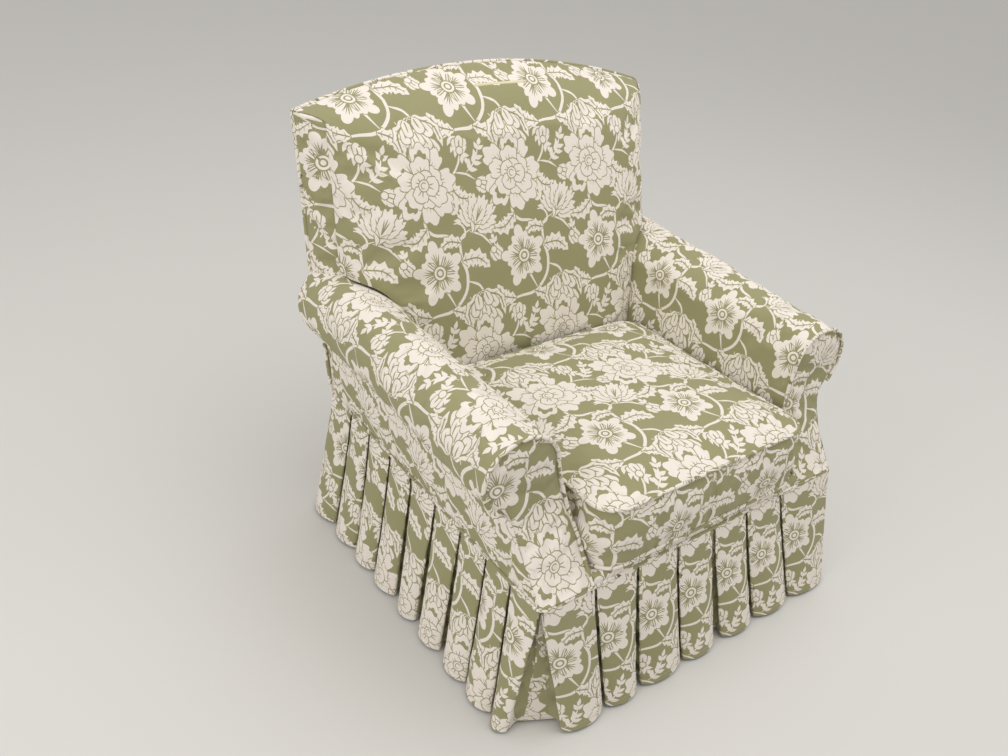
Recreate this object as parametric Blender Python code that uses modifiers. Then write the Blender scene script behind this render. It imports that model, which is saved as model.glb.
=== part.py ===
"""Skirted easy chair: wooden frame, zigzag seat springs, pads, a loose cushion and a pleated slipcover.

Metres, +Z up. The chair faces -Y, and left and right are the sitter's, so the left side lies at +X.
The pieces are placed with the skirt's top front edge at y = 0, and the whole is centred at the end.
"""

import math

import bmesh
import bpy
from mathutils import Matrix, Vector

# Clearances and cloth
GAP = 0.0003
COVER = 0.0020
SEAM_CORD = 0.0035
SEAM_SPACE = SEAM_CORD + GAP
SEAM_NOTCH = SEAM_SPACE * 1.5
SKIRT_CLOTH = 0.0016
CORD_RESOLUTION = 1
MITRE_LIMIT = 0.5

# Body and skirt
BODY_HALF_WIDTH = 0.344
BODY_DEPTH = 0.670
BODY_CORNER = 0.014
SKIRT_TOP = 0.274
HEM_HEIGHT = 0.006
FLARE_FRONT = 0.038
FLARE_SIDE = 0.030
FLARE_REAR = 0.028
PLEAT_DEPTH = 0.022
PLEAT_DEPTH_AT_TOP = 0.0062
PLEAT_FOLD = 0.09
SKIRT_DROPS = (0.0, 0.12, 0.5, 1.0)
PLEATS_ACROSS = 7
PLEATS_ALONG = 9
FOOT = SKIRT_TOP + SEAM_SPACE

# Arms
ARM_WIDTH = 0.101
ARM_TOP = 0.5375
ROLL_RADIUS = 0.0656
ROLL_INSET = 0.009
ARM_SETBACK = 0.087
ARM_SWEEP = 2.2
ARM_KNEE = 0.066
NECK_OUT = 0.010
NECK_ANGLE = 52.0
NECK_BLEND = 0.012
ARM_INNER = BODY_HALF_WIDTH - ARM_WIDTH
ROLL_X = BODY_HALF_WIDTH - ROLL_INSET
ROLL_Z = ARM_TOP - ROLL_RADIUS
ARM_LEVELS = 10
ROLL_STEPS = 12

# Back
BACK_TOP = 0.852
BACK_ARCH = 0.054
BACK_HALF_WIDTH = 0.3705
BACK_LEAN = 0.068
BACK_EDGE = 0.050
BACK_EDGE_SLANT = 0.032
BACK_DEPTH_LOW = 0.168
BACK_DEPTH_HIGH = 0.097
BACK_LOW_HEIGHT = 0.086
BACK_ROLL = 0.100
BACK_ARM_CLEARANCE = 0.003
BACK_TUCK = 0.010
BACK_ROUNDING = 5.0
BACK_SIDE_FULLNESS = 0.75
BACK_COLUMNS = (-1.0, -0.94, -0.80, -0.45, 0.0, 0.45, 0.80, 0.94, 1.0)
BACK_FACE_ROWS = (0.0, 0.15, 0.42, 0.70)
REAR_STEPS = 8
WELT_STEPS = 10

# Seat
APRON_HEIGHT = 0.0185
APRON_ROUND = 0.010
SEAT_FALL = 3.5
DECK_PAD = 0.016
DECK_REAR_MARGIN = 0.110
CUSHION_CLEARANCE = 0.002
CUSHION_FRONT = -0.004
CUSHION_BACK_GAP = 0.018
CUSHION_THICKNESS = 0.113
CUSHION_CROWN = 0.022
CUSHION_CORNER = 0.045
CUSHION_WAIST = 0.004
CUSHION_RINGS = (0.92, 0.78, 0.58, 0.30)
CUSHION_BASE_RINGS = (0.30, 0.90)
CORNER_STEPS = 4
ZIP_END_MARGIN = 0.054
ZIP_WIDTH = 0.024
ZIP_TEETH = 0.004
SLIDER_LENGTH = 0.011
PULL_LENGTH = 0.020

# Frame
FRAME_PADDING = 0.020
FRAME_CLEARANCE = 0.0015
FRAME_STEPS = 8
CURVE_CLEARANCE = 0.0009
BURLAP = 0.002
BACK_PAD_EDGE = 0.006
RAIL_THICKNESS = 0.026
RAIL_BOTTOM = 0.150
FRONT_RAIL_Y = 0.024
STUMP_THICKNESS = 0.024
STUMP_MARGIN = 0.012
ARM_RAIL_THICKNESS = 0.022
ARM_RAIL_DROP = 0.074
CREST_HEIGHT = 0.095
CREST_MARGIN = 0.020
LOWER_RAIL_HEIGHT = 0.060
LOWER_RAIL_RISE = 0.020
LEG_TOP = 0.044
LEG_FOOT = 0.034
GLIDE_HEIGHT = 0.005
GLIDE_RADIUS = 0.013
GLIDE_FOOT_RADIUS = 0.0104
BLOCK_LEG = 0.070
BLOCK_HEIGHT = 0.045
DUST_COVER = 0.0015

# Seat springs
SPRING_COUNT = 4
SPRING_SIDE_MARGIN = 0.1134
SPRING_WIRE = 0.0019
SPRING_WIDTH = 0.048
SPRING_RUNS = 19
SPRING_RISE = 0.020
CLIP_WIDTH = 0.018
CLIP_PLATE = 0.0014
CLIP_TAIL = 0.012

# Values that follow from the sizes above
FRAME_IN = ROLL_X - ROLL_RADIUS + STUMP_MARGIN
FRAME_OUT = BODY_HALF_WIDTH - FRAME_PADDING
POST_REAR = COVER + FRAME_CLEARANCE
ARM_END = SEAM_SPACE + FRAME_CLEARANCE
BURLAP_REAR = BACK_EDGE - BACK_PAD_EDGE - CURVE_CLEARANCE - BURLAP
POST_FRONT = BURLAP_REAR - CURVE_CLEARANCE
PAD_REAR = BACK_EDGE - BACK_PAD_EDGE
ARM_RAIL_TOP = ARM_TOP - ARM_RAIL_DROP
DECK_FRONT = SKIRT_TOP + APRON_HEIGHT
DECK_DEPTH = BODY_DEPTH - DECK_REAR_MARGIN
CUSHION_HALF_WIDTH = ARM_INNER - 2 * SEAM_CORD - CUSHION_CLEARANCE
CUSHION_LENGTH = BODY_DEPTH - BACK_DEPTH_LOW - CUSHION_BACK_GAP - CUSHION_FRONT
ZIP_LENGTH = 2 * (CUSHION_HALF_WIDTH - ZIP_END_MARGIN)
SPRING_SPACING = 2 * (FRAME_IN - SPRING_SIDE_MARGIN) / (SPRING_COUNT - 1)
SPRING_TOP = -(COVER + GAP + DECK_PAD + GAP + SPRING_WIRE)

WOOD = ("wood", (0.62, 0.45, 0.27), 0.6, 0.0)
CLOTH = ("cloth", (0.47, 0.48, 0.27), 0.9, 0.0)
PADDING = ("padding", (0.86, 0.84, 0.78), 0.95, 0.0)
JUTE = ("jute", (0.55, 0.42, 0.26), 0.95, 0.0)
CAMBRIC = ("cambric", (0.04, 0.04, 0.045), 0.9, 0.0)
STEEL = ("steel", (0.55, 0.56, 0.58), 0.35, 1.0)
ZIP = ("zip", (0.60, 0.58, 0.45), 0.5, 0.0)


def clear_scene():
    for old in list(bpy.data.objects):
        bpy.data.objects.remove(old, do_unlink=True)


def collection(name):
    found = bpy.data.collections.get(name)
    if found is None:
        found = bpy.data.collections.new(name)
        bpy.context.scene.collection.children.link(found)
    return found


def material(look):
    name, colour, roughness, metallic = look
    made = bpy.data.materials.get(name)
    if made is None:
        made = bpy.data.materials.new(name)
        made.use_nodes = True
        shader = made.node_tree.nodes["Principled BSDF"]
        shader.inputs["Base Color"].default_value = (*colour, 1.0)
        shader.inputs["Roughness"].default_value = roughness
        shader.inputs["Metallic"].default_value = metallic
    return made


def add_object(name, data, look, parent):
    made = bpy.data.objects.new(name, data)
    data.materials.append(material(look))
    collection("easy_chair").objects.link(made)
    made.parent = parent
    return made


def add_mesh(name, bm, look, parent, smooth=35.0):
    """A mesh object from a bmesh, whose faces are turned outward first when it is closed."""
    if all(edge.is_manifold for edge in bm.edges):
        bmesh.ops.recalc_face_normals(bm, faces=bm.faces)
        if bm.calc_volume(signed=True) < 0.0:
            bmesh.ops.reverse_faces(bm, faces=bm.faces)
    mesh = bpy.data.meshes.new(name)
    bm.to_mesh(mesh)
    bm.free()
    mesh.shade_smooth()
    mesh.set_sharp_from_angle(angle=math.radians(smooth))
    return add_object(name, mesh, look, parent)


def add_right_copy(left):
    """The mirrored copy of a left piece, with its modifiers applied."""
    mesh = bpy.data.meshes.new_from_object(left.evaluated_get(bpy.context.evaluated_depsgraph_get()))
    mesh.transform(Matrix.Scale(-1.0, 4, (1.0, 0.0, 0.0)))
    mesh.flip_normals()
    name = left.name.replace("_left", "_right")
    mesh.name = name
    made = bpy.data.objects.new(name, mesh)
    collection("easy_chair").objects.link(made)
    made.parent = left.parent
    return made


def make_cutter(piece):
    """Moves a piece among the cutters, where the build leaves it out."""
    if not piece.hide_render:
        piece.hide_render = True
        piece.display_type = "WIRE"
        collection("easy_chair").objects.unlink(piece)
        collection("cutters").objects.link(piece)
    return piece


def combine(piece, tool, operation):
    modifier = piece.modifiers.new(tool.name, "BOOLEAN")
    modifier.operation = operation
    modifier.solver = "EXACT"
    modifier.object = make_cutter(tool)
    bpy.context.view_layer.update()


def cut(piece, cutter):
    combine(piece, cutter, "DIFFERENCE")


def thicken(piece, thickness, even=True):
    """Gives an open surface its thickness on the inner side, the same at its corners where that fits."""
    modifier = piece.modifiers.new("cloth", "SOLIDIFY")
    modifier.thickness = thickness
    modifier.offset = -1.0
    modifier.use_even_offset = even
    bpy.context.view_layer.update()


def box(name, low, high, look, parent, round_edge=0.002):
    bm = bmesh.new()
    bmesh.ops.create_cube(bm, size=1.0)
    centre = (Vector(low) + Vector(high)) / 2
    size = Vector(high) - Vector(low)
    bmesh.ops.scale(bm, vec=size, verts=bm.verts)
    bmesh.ops.translate(bm, vec=centre, verts=bm.verts)
    if round_edge:
        bmesh.ops.bevel(bm, geom=bm.edges[:], offset=round_edge, segments=1, affect="EDGES")
    return add_mesh(name, bm, look, parent)


def grid(rows, cyclic=False):
    """A surface through rows of points that all have the same count."""
    bm = bmesh.new()
    lines = [[bm.verts.new(point) for point in row] for row in rows]
    for near, far in zip(lines, lines[1:]):
        count = len(near)
        for i in range(count if cyclic else count - 1):
            j = (i + 1) % count
            bm.faces.new((near[i], near[j], far[j], far[i]))
    return bm, lines


def loft(rows):
    """A closed solid through rings of points, with a flat face at each end."""
    bm, lines = grid(rows, cyclic=True)
    bm.faces.new(lines[0][::-1])
    bm.faces.new(lines[-1])
    return bm


def prism(outline, along, start, end):
    """A flat outline in the two other axes, drawn out along X, Y or Z."""
    def place(point, level):
        values = list(point)
        values.insert(along, level)
        return Vector(values)
    return loft([[place(point, level) for point in outline] for level in (start, end)])


def tube(name, points, radius, look, parent, cyclic=False, resolution=CORD_RESOLUTION):
    data = bpy.data.curves.new(name, "CURVE")
    data.dimensions = "3D"
    data.bevel_depth = radius
    data.bevel_resolution = resolution
    data.use_fill_caps = not cyclic
    spline = data.splines.new("POLY")
    spline.points.add(len(points) - 1)
    for target, point in zip(spline.points, points):
        target.co = (*point, 1.0)
    spline.use_cyclic_u = cyclic
    return add_object(name, data, look, parent)


def offset_path(points, distance, cyclic=False):
    """A line in two axes moved to its right by a distance, with mitred corners."""
    moved = []
    last = len(points) - 1
    for i, point in enumerate(points):
        here = Vector(point)
        before = Vector(points[i - 1]) if i > 0 or cyclic else None
        after = Vector(points[(i + 1) % len(points)]) if i < last or cyclic else None
        into = (here - before).normalized() if before is not None else (after - here).normalized()
        out = (after - here).normalized() if after is not None else into
        normal_in = Vector((into.y, -into.x))
        normal_out = Vector((out.y, -out.x))
        middle = (normal_in + normal_out).normalized()
        moved.append(here + middle * distance / max(middle.dot(normal_in), MITRE_LIMIT))
    return moved


def arc(centre, radius, start, end, steps):
    """Points on a circle from one angle in degrees to another."""
    angles = [math.radians(start + (end - start) * i / steps) for i in range(steps + 1)]
    return [Vector((centre[0] + radius * math.cos(a), centre[1] + radius * math.sin(a))) for a in angles]


def mix(a, b, share):
    return a + (b - a) * share


# The surfaces that the pieces share

def arm_front_y(z, behind=0.0):
    """Y of an arm's front at a height, or of a surface that lies this far behind it."""
    span = ROLL_Z - FOOT
    fall = 1.0 - min(max((z - FOOT) / span, 0.0), 1.0)
    slope = ARM_SETBACK / span * ARM_SWEEP * fall ** (ARM_SWEEP - 1.0)
    return ARM_SETBACK * (1.0 - fall**ARM_SWEEP) + behind * math.hypot(1.0, slope)


def arm_inner_x(z):
    """X of an arm's inner side below the middle of its roll."""
    share = max((z - FOOT - ARM_KNEE) / (ROLL_Z - FOOT - ARM_KNEE), 0.0)
    return mix(ARM_INNER, ROLL_X - ROLL_RADIUS, share)


def arm_outer_x(z):
    """X of an arm's outer side below the middle of its roll: the roll, its neck and the panel under it."""
    neck_z = ROLL_Z - ROLL_RADIUS * math.sin(math.radians(NECK_ANGLE))
    if z >= neck_z:
        return ROLL_X + math.sqrt(ROLL_RADIUS**2 - (ROLL_Z - z) ** 2)
    neck_x = ROLL_X + ROLL_RADIUS * math.cos(math.radians(NECK_ANGLE))
    panel_x = BODY_HALF_WIDTH + NECK_OUT * (z - FOOT) / (neck_z - FOOT)
    return panel_x + (neck_x - BODY_HALF_WIDTH - NECK_OUT) * math.exp((z - neck_z) / NECK_BLEND)


def arm_section():
    """Outer line of the left arm in X and Z, from the inner foot over the roll to the outer foot."""
    levels = [mix(FOOT, ROLL_Z, i / ARM_LEVELS) for i in range(ARM_LEVELS)]
    inner = [Vector((arm_inner_x(z), z)) for z in levels]
    outer = [Vector((arm_outer_x(z), z)) for z in reversed(levels)]
    return inner + arc((ROLL_X, ROLL_Z), ROLL_RADIUS, 180.0, 0.0, ROLL_STEPS) + outer


def rear_y(z, depth=0.0):
    """Y of the outside of the back at a height, or of a surface that lies this far inside it."""
    height = max(z - SKIRT_TOP, 0.0) / (BACK_TOP - SKIRT_TOP)
    return BODY_DEPTH + BACK_LEAN * height**2 - depth


def rear_half_width(z):
    share = min(max((z - SKIRT_TOP) / (ARM_TOP - SKIRT_TOP), 0.0), 1.0)
    return mix(BODY_HALF_WIDTH, BACK_HALF_WIDTH, share)


def back_top_z(x):
    return BACK_TOP - BACK_ARCH * (x / BACK_HALF_WIDTH) ** 2


def back_depth(z):
    """Depth of the padded back at its middle."""
    low = FOOT + BACK_LOW_HEIGHT
    share = min(max((z - low) / (BACK_TOP - BACK_ROLL - low), 0.0), 1.0)
    return mix(BACK_DEPTH_LOW, BACK_DEPTH_HIGH, share)


def seat_point(x, along, height):
    """A point over the sloping seat deck, from its front edge and square to its surface."""
    tilt = math.radians(SEAT_FALL)
    y = along * math.cos(tilt) + height * math.sin(tilt)
    z = DECK_FRONT - along * math.sin(tilt) + height * math.cos(tilt)
    return Vector((x, y, z))


# Wooden frame

def post_ring(x_low, x_high, z, front, rear):
    y_front = rear_y(z, front)
    y_rear = rear_y(z, rear)
    return [(x_low, y_front, z), (x_high, y_front, z), (x_high, y_rear, z), (x_low, y_rear, z)]


def crest_bottom():
    return back_top_z(FRAME_OUT) - CREST_HEIGHT


def make_back_posts(parent):
    levels = [GLIDE_HEIGHT + GAP, RAIL_BOTTOM]
    levels += [mix(SKIRT_TOP, crest_bottom() - GAP, i / FRAME_STEPS) for i in range(FRAME_STEPS + 1)]
    rows = [post_ring(FRAME_IN, FRAME_OUT, z, POST_FRONT, POST_REAR) for z in levels]
    add_right_copy(add_mesh("back_post_left", loft(rows), WOOD, parent))


def make_crest_rail(parent):
    rows = []
    for i in range(FRAME_STEPS + 1):
        x = mix(-FRAME_OUT, FRAME_OUT, i / FRAME_STEPS)
        low = crest_bottom()
        high = back_top_z(x) - CREST_MARGIN
        rows.append([
            (x, rear_y(low, POST_FRONT), low),
            (x, rear_y(low, POST_REAR), low),
            (x, rear_y(high, POST_REAR), high),
            (x, rear_y(high, POST_FRONT), high),
        ])
    add_mesh("crest_rail", loft(rows), WOOD, parent)


def make_lower_back_rail(parent):
    low = FOOT + LOWER_RAIL_RISE
    high = low + LOWER_RAIL_HEIGHT
    rows = [post_ring(-FRAME_IN + GAP, FRAME_IN - GAP, z, POST_FRONT, POST_REAR) for z in (low, high)]
    add_mesh("lower_back_rail", loft(rows), WOOD, parent)


def front_rail_top():
    return spring_end(0.0).z - SPRING_WIRE - CLIP_PLATE - 2 * GAP


def rear_rail_top():
    return spring_end(1.0).z - SPRING_WIRE - CLIP_PLATE - 2 * GAP


def make_seat_rails(parent):
    rear_front = BODY_DEPTH - POST_FRONT
    front_rear = FRONT_RAIL_Y + RAIL_THICKNESS
    box("front_rail", (-FRAME_OUT, FRONT_RAIL_Y, RAIL_BOTTOM), (FRAME_OUT, front_rear, front_rail_top()),
        WOOD, parent)
    box("rear_rail", (-FRAME_IN + GAP, rear_front, RAIL_BOTTOM),
        (FRAME_IN - GAP, rear_front + RAIL_THICKNESS, rear_rail_top()), WOOD, parent)
    side = box("side_rail_left", (FRAME_OUT - RAIL_THICKNESS, front_rear + GAP, RAIL_BOTTOM),
               (FRAME_OUT, rear_front - GAP, rear_rail_top()), WOOD, parent)
    add_right_copy(side)


def make_corner_blocks(parent):
    x = FRAME_OUT - RAIL_THICKNESS - GAP
    y = FRONT_RAIL_Y + RAIL_THICKNESS + GAP
    corner = [Vector((x, y)), Vector((x, y + BLOCK_LEG)), Vector((x - BLOCK_LEG, y))]
    block = prism(corner, 2, RAIL_BOTTOM, RAIL_BOTTOM + BLOCK_HEIGHT)
    add_right_copy(add_mesh("corner_block_left", block, WOOD, parent))


def make_front_legs(parent):
    rows = []
    x = FRAME_OUT - LEG_TOP / 2
    y = FRONT_RAIL_Y + LEG_TOP / 2
    for half, z in ((LEG_FOOT / 2, GLIDE_HEIGHT + GAP), (LEG_TOP / 2, RAIL_BOTTOM - GAP)):
        rows.append([(x - half, y - half, z), (x + half, y - half, z), (x + half, y + half, z),
                     (x - half, y + half, z)])
    add_right_copy(add_mesh("front_leg_left", loft(rows), WOOD, parent))


def make_glides(parent):
    rear = rear_y(0.0, (POST_FRONT + POST_REAR) / 2)
    front = FRONT_RAIL_Y + LEG_TOP / 2
    places = (("front", FRAME_OUT - LEG_TOP / 2, front), ("rear", (FRAME_IN + FRAME_OUT) / 2, rear))
    for place, x, y in places:
        bm = bmesh.new()
        bmesh.ops.create_cone(bm, cap_ends=True, segments=12, radius1=GLIDE_FOOT_RADIUS,
                              radius2=GLIDE_RADIUS, depth=GLIDE_HEIGHT)
        bmesh.ops.translate(bm, vec=(x, y, GLIDE_HEIGHT / 2), verts=bm.verts)
        add_right_copy(add_mesh(f"{place}_glide_left", bm, STEEL, parent))


def stump_y():
    return ARM_SETBACK + STUMP_MARGIN


def stump_outline(margin):
    """The rolled outline sawn in an arm's front board, down to the side rail beside it."""
    path = offset_path(arm_section(), margin)
    low = rear_rail_top() + GAP
    return [Vector((path[0].x, low))] + path[1:-1] + [Vector((path[-1].x, low))]


def make_arm_stumps(parent):
    board = prism(stump_outline(STUMP_MARGIN), 1, stump_y(), stump_y() + STUMP_THICKNESS)
    add_right_copy(add_mesh("arm_stump_left", board, WOOD, parent))


def arm_rail_span():
    return stump_y() + STUMP_THICKNESS + GAP, rear_y(ARM_RAIL_TOP - ARM_RAIL_THICKNESS, POST_FRONT + GAP)


def make_arm_rails(parent):
    start, end = arm_rail_span()
    rail = box("arm_rail_left", (FRAME_IN, start, ARM_RAIL_TOP - ARM_RAIL_THICKNESS),
               (FRAME_OUT, end, ARM_RAIL_TOP), WOOD, parent)
    add_right_copy(rail)


# Seat springs and their clips

def spring_span():
    """Where the springs' end wires lie along the seat, over the middles of the front and rear rails."""
    start = FRONT_RAIL_Y + RAIL_THICKNESS / 2
    end = BODY_DEPTH - POST_FRONT + RAIL_THICKNESS / 2
    tilt = math.radians(SEAT_FALL)
    return start / math.cos(tilt), end / math.cos(tilt)


def spring_height(share):
    """Height of a spring's wire: arched, with its crown just under the deck pad."""
    return SPRING_TOP - SPRING_RISE * (2.0 * share - 1.0) ** 2


def spring_end(share):
    start, end = spring_span()
    return seat_point(0.0, mix(start, end, share), spring_height(share))


def spring_points(centre_x):
    """A zigzag of straight runs across the seat, each joined to the next by a half turn at the side."""
    start, end = spring_span()
    step = (end - start) / SPRING_RUNS
    turn = step / 2
    points = []
    for run in range(SPRING_RUNS + 1):
        side = 1.0 if run % 2 else -1.0
        first = SPRING_WIDTH / 2 - turn
        for x in (-side * first, side * first):
            points.append((x, start + run * step))
        if run < SPRING_RUNS:
            middle = start + (run + 0.5) * step
            for point in arc((first, middle), turn, -30.0, 30.0, 1):
                points.append((side * point.x, point.y))
    placed = []
    for x, along in points:
        share = (along - start) / (end - start)
        placed.append(seat_point(centre_x + x, along, spring_height(share)))
    return placed


def clip_outline(wire, facing):
    """A clip's strip in Y and Z: a flat base on the rail that turns up and over the spring's end wire."""
    middle = SPRING_WIRE + GAP + CLIP_PLATE / 2
    path = [Vector((-CLIP_TAIL, -middle))]
    path += arc((0.0, 0.0), middle, -90.0, 90.0, 6)
    path += [Vector((-SPRING_WIRE, middle))]
    strip = offset_path(path, CLIP_PLATE / 2) + offset_path(path, -CLIP_PLATE / 2)[::-1]
    return [Vector((wire.y + facing * point.x, wire.z + point.y)) for point in strip]


def make_seat_springs(parent):
    ends = (("front", spring_end(0.0), -1.0), ("rear", spring_end(1.0), 1.0))
    for number in range(SPRING_COUNT):
        x = (number - (SPRING_COUNT - 1) / 2) * SPRING_SPACING
        tube(f"seat_spring_{number + 1}", spring_points(x), SPRING_WIRE, STEEL, parent)
        for place, wire, facing in ends:
            clip = prism(clip_outline(wire, facing), 0, x - CLIP_WIDTH / 2, x + CLIP_WIDTH / 2)
            add_mesh(f"{place}_clip_{number + 1}", clip, STEEL, parent)


def make_dust_cover(parent):
    x = FRAME_OUT - LEG_TOP - FRAME_CLEARANCE
    low = (-x, FRONT_RAIL_Y + FRAME_CLEARANCE, RAIL_BOTTOM - GAP - DUST_COVER)
    high = (x, BODY_DEPTH - POST_FRONT + RAIL_THICKNESS, RAIL_BOTTOM - GAP)
    box("dust_cover", low, high, CAMBRIC, parent, round_edge=0.0)


# Arms

def arm_rows(path, depth):
    """The arm's front row, behind its seam cord, and its rear row, at a depth inside the back's face."""
    front = [(point.x, arm_front_y(point.y, SEAM_SPACE), point.y) for point in path]
    rear = [(point.x, rear_y(point.y, depth), point.y) for point in path]
    return [front, rear]


def close_across(bm, line):
    """Closes the end of an arm with level strips between its inner and outer points."""
    last = len(line) - 1
    for i in range(last // 2):
        corners = [line[i], line[i + 1], line[last - i - 1], line[last - i]]
        bm.faces.new(list(dict.fromkeys(corners)))


def make_frame_space(parent):
    """The room that the arms' covers and pads leave round the back post and in front of it."""
    rear = BODY_DEPTH + BACK_LEAN
    start = BODY_DEPTH - POST_FRONT - FRAME_CLEARANCE
    return box("frame_space", (0.0, start, 0.0), (FRAME_OUT + 2 * FRAME_CLEARANCE, rear, BACK_TOP),
               WOOD, parent, round_edge=0.0)


def make_arm_covers(frame_space, parent):
    bm, lines = grid(arm_rows(arm_section(), ARM_END))
    close_across(bm, lines[-1])
    bm.normal_update()
    if max(bm.faces, key=lambda face: face.calc_center_median().z).normal.z < 0.0:
        bmesh.ops.reverse_faces(bm, faces=bm.faces)
    cover = add_mesh("arm_cover_left", bm, CLOTH, parent)
    thicken(cover, COVER)
    cut(cover, frame_space)
    add_right_copy(cover)


def make_arm_pads(frame_space, parent):
    rows = arm_rows(offset_path(arm_section(), COVER + GAP), ARM_END + COVER + FRAME_CLEARANCE)
    bm, lines = grid(rows, cyclic=True)
    close_across(bm, lines[0])
    close_across(bm, lines[1])
    pad = add_mesh("arm_pad_left", bm, PADDING, parent)
    outline = stump_outline(STUMP_MARGIN - GAP)
    outline[0].y = outline[-1].y = 0.0
    pocket = prism(outline, 1, stump_y() - GAP, stump_y() + STUMP_THICKNESS + GAP)
    cut(pad, add_mesh("stump_pocket", pocket, WOOD, parent))
    start = arm_rail_span()[0] - GAP - STUMP_THICKNESS / 2
    hollow = box("arm_hollow", (FRAME_IN - GAP, start, 0.0),
                 (FRAME_OUT + GAP, BODY_DEPTH + BACK_LEAN, ARM_RAIL_TOP + GAP), WOOD, parent, round_edge=0.0)
    cut(pad, hollow)
    cut(pad, frame_space)
    add_right_copy(pad)


def raise_feet(path):
    """The arm's line with its feet above the skirt's seam cord, where the arm's front slopes forward."""
    path[0].y = path[-1].y = FOOT + SEAM_CORD
    return path


def make_arm_front_panels(parent):
    path = raise_feet(offset_path(arm_section(), SEAM_SPACE))
    half = len(path) // 2
    rows = []
    for i in range(half + 1):
        inner = path[i]
        outer = path[len(path) - 1 - i]
        row = []
        for share in (0.0, 0.5, 1.0):
            point = inner.lerp(outer, share)
            row.append((point.x, arm_front_y(point.y), point.y))
        rows.append(row)
    bm = grid(rows)[0]
    bmesh.ops.remove_doubles(bm, verts=bm.verts, dist=GAP / 3)
    bm.normal_update()
    if sum(face.normal.y for face in bm.faces) > 0.0:
        bmesh.ops.reverse_faces(bm, faces=bm.faces)
    panel = add_mesh("arm_front_panel_left", bm, CLOTH, parent)
    thicken(panel, COVER)
    add_right_copy(panel)


def make_arm_welts(parent):
    points = [(point.x, arm_front_y(point.y), point.y) for point in raise_feet(arm_section())]
    add_right_copy(tube("arm_welt_left", points, SEAM_CORD, CLOTH, parent))


# Back

def turn_at(depth):
    """Angle over the rolled top edge at which the face lies this far inside the back's outer face."""
    return math.degrees(math.acos(depth / BACK_DEPTH_HIGH))


def back_rows(rear, rear_between_arms, turns):
    """Rows across the padded back: between the arms, over their rolls, up the face and over the top."""
    rows = []
    for z, half in back_narrow_levels():
        depth = back_depth(z)
        edge = mix(BACK_EDGE, depth, BACK_SIDE_FULLNESS)
        front = [(half * u, rear_y(z, side_rounded(depth, edge, u)), z) for u in BACK_COLUMNS]
        y = rear_y(z, rear_between_arms)
        rows.append([(-half, y, z)] + front + [(half, y, z)])
    for share in BACK_FACE_ROWS:
        rows.append(back_wide_row(share, 0.0, rear))
    for turn in turns:
        rows.append(back_wide_row(1.0, math.radians(turn), rear))
    return rows


def back_narrow_levels():
    """Heights between the arms and over their rolls, each with the back's half width there."""
    heights = (FOOT + GAP, FOOT + ARM_KNEE, mix(FOOT + ARM_KNEE, ROLL_Z, 0.5), ROLL_Z)
    levels = [(z, arm_inner_x(z) - BACK_ARM_CLEARANCE) for z in heights]
    over_roll = arc((ROLL_X, ROLL_Z), ROLL_RADIUS + BACK_ARM_CLEARANCE, 156.0, 112.0, 2)
    return levels + [(point.y, point.x) for point in over_roll]


def side_rounded(depth, edge, u):
    """Depth across the back: level in the middle and rounded to the seam at the side."""
    edge = min(edge, depth)
    return edge + (depth - edge) * math.sqrt(max(1.0 - abs(u) ** BACK_ROUNDING, 0.0))


def back_wide_row(share, turn, rear):
    """A row above the arms, at a share of the straight face's height or at a turn over its rolled top."""
    def level(x):
        low = ARM_TOP + 2 * BACK_ARM_CLEARANCE
        return mix(low, back_top_z(x) - BACK_ROLL, share) + BACK_ROLL * math.sin(turn)

    side_z = level(BACK_HALF_WIDTH)
    edge = min(BACK_EDGE, back_depth(side_z) * math.cos(turn))
    side = rear_half_width(side_z)
    half = side - BACK_EDGE_SLANT * (edge - SEAM_SPACE) / (BACK_EDGE - SEAM_SPACE)
    row = []
    for u in BACK_COLUMNS:
        x = half * u
        z = level(x)
        row.append((x, rear_y(z, side_rounded(back_depth(z) * math.cos(turn), edge, u)), z))
    end = mix(half, side, max(edge - rear, 0.0) / max(edge - SEAM_SPACE, GAP))
    end_z = level(end)
    y = rear_y(end_z, min(rear, edge))
    return [(-end, y, end_z)] + row + [(end, y, end_z)]


def shrink(bm, distance):
    """Moves an open surface inward by the same distance everywhere."""
    bm.normal_update()
    moved = [(vert, vert.co - vert.normal * distance * vert.calc_shell_factor()) for vert in bm.verts]
    for vert, place in moved:
        vert.co = place


def facing_front(bm):
    bm.normal_update()
    if sum(face.normal.y * face.calc_area() for face in bm.faces) > 0.0:
        bmesh.ops.reverse_faces(bm, faces=bm.faces)


def pad_turns():
    """Angles over the top edge as far as the pad's rear face."""
    return [turn_at(PAD_REAR + 2 * COVER) * i / 4 for i in range(5)]


def make_inside_back(parent):
    low_turns = pad_turns()
    high_turns = [mix(low_turns[-1], turn_at(SEAM_SPACE), share) for share in (0.5, 1.0)]
    rear = SEAM_SPACE + CURVE_CLEARANCE
    bm = grid(back_rows(rear, BACK_EDGE + BACK_TUCK, low_turns + high_turns))[0]
    facing_front(bm)
    cover = add_mesh("inside_back_cover", bm, CLOTH, parent)
    thicken(cover, COVER, even=False)


def make_back_pad(parent):
    rear = PAD_REAR + COVER
    bm, lines = grid(back_rows(rear, rear, pad_turns()))
    facing_front(bm)
    shrink(bm, COVER + CURVE_CLEARANCE)
    for near, far in zip(lines, lines[1:]):
        bm.faces.new((near[0], near[-1], far[-1], far[0]))
    bm.faces.new(lines[0])
    bm.faces.new(lines[-1])
    add_mesh("back_pad", bm, PADDING, parent)


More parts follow.
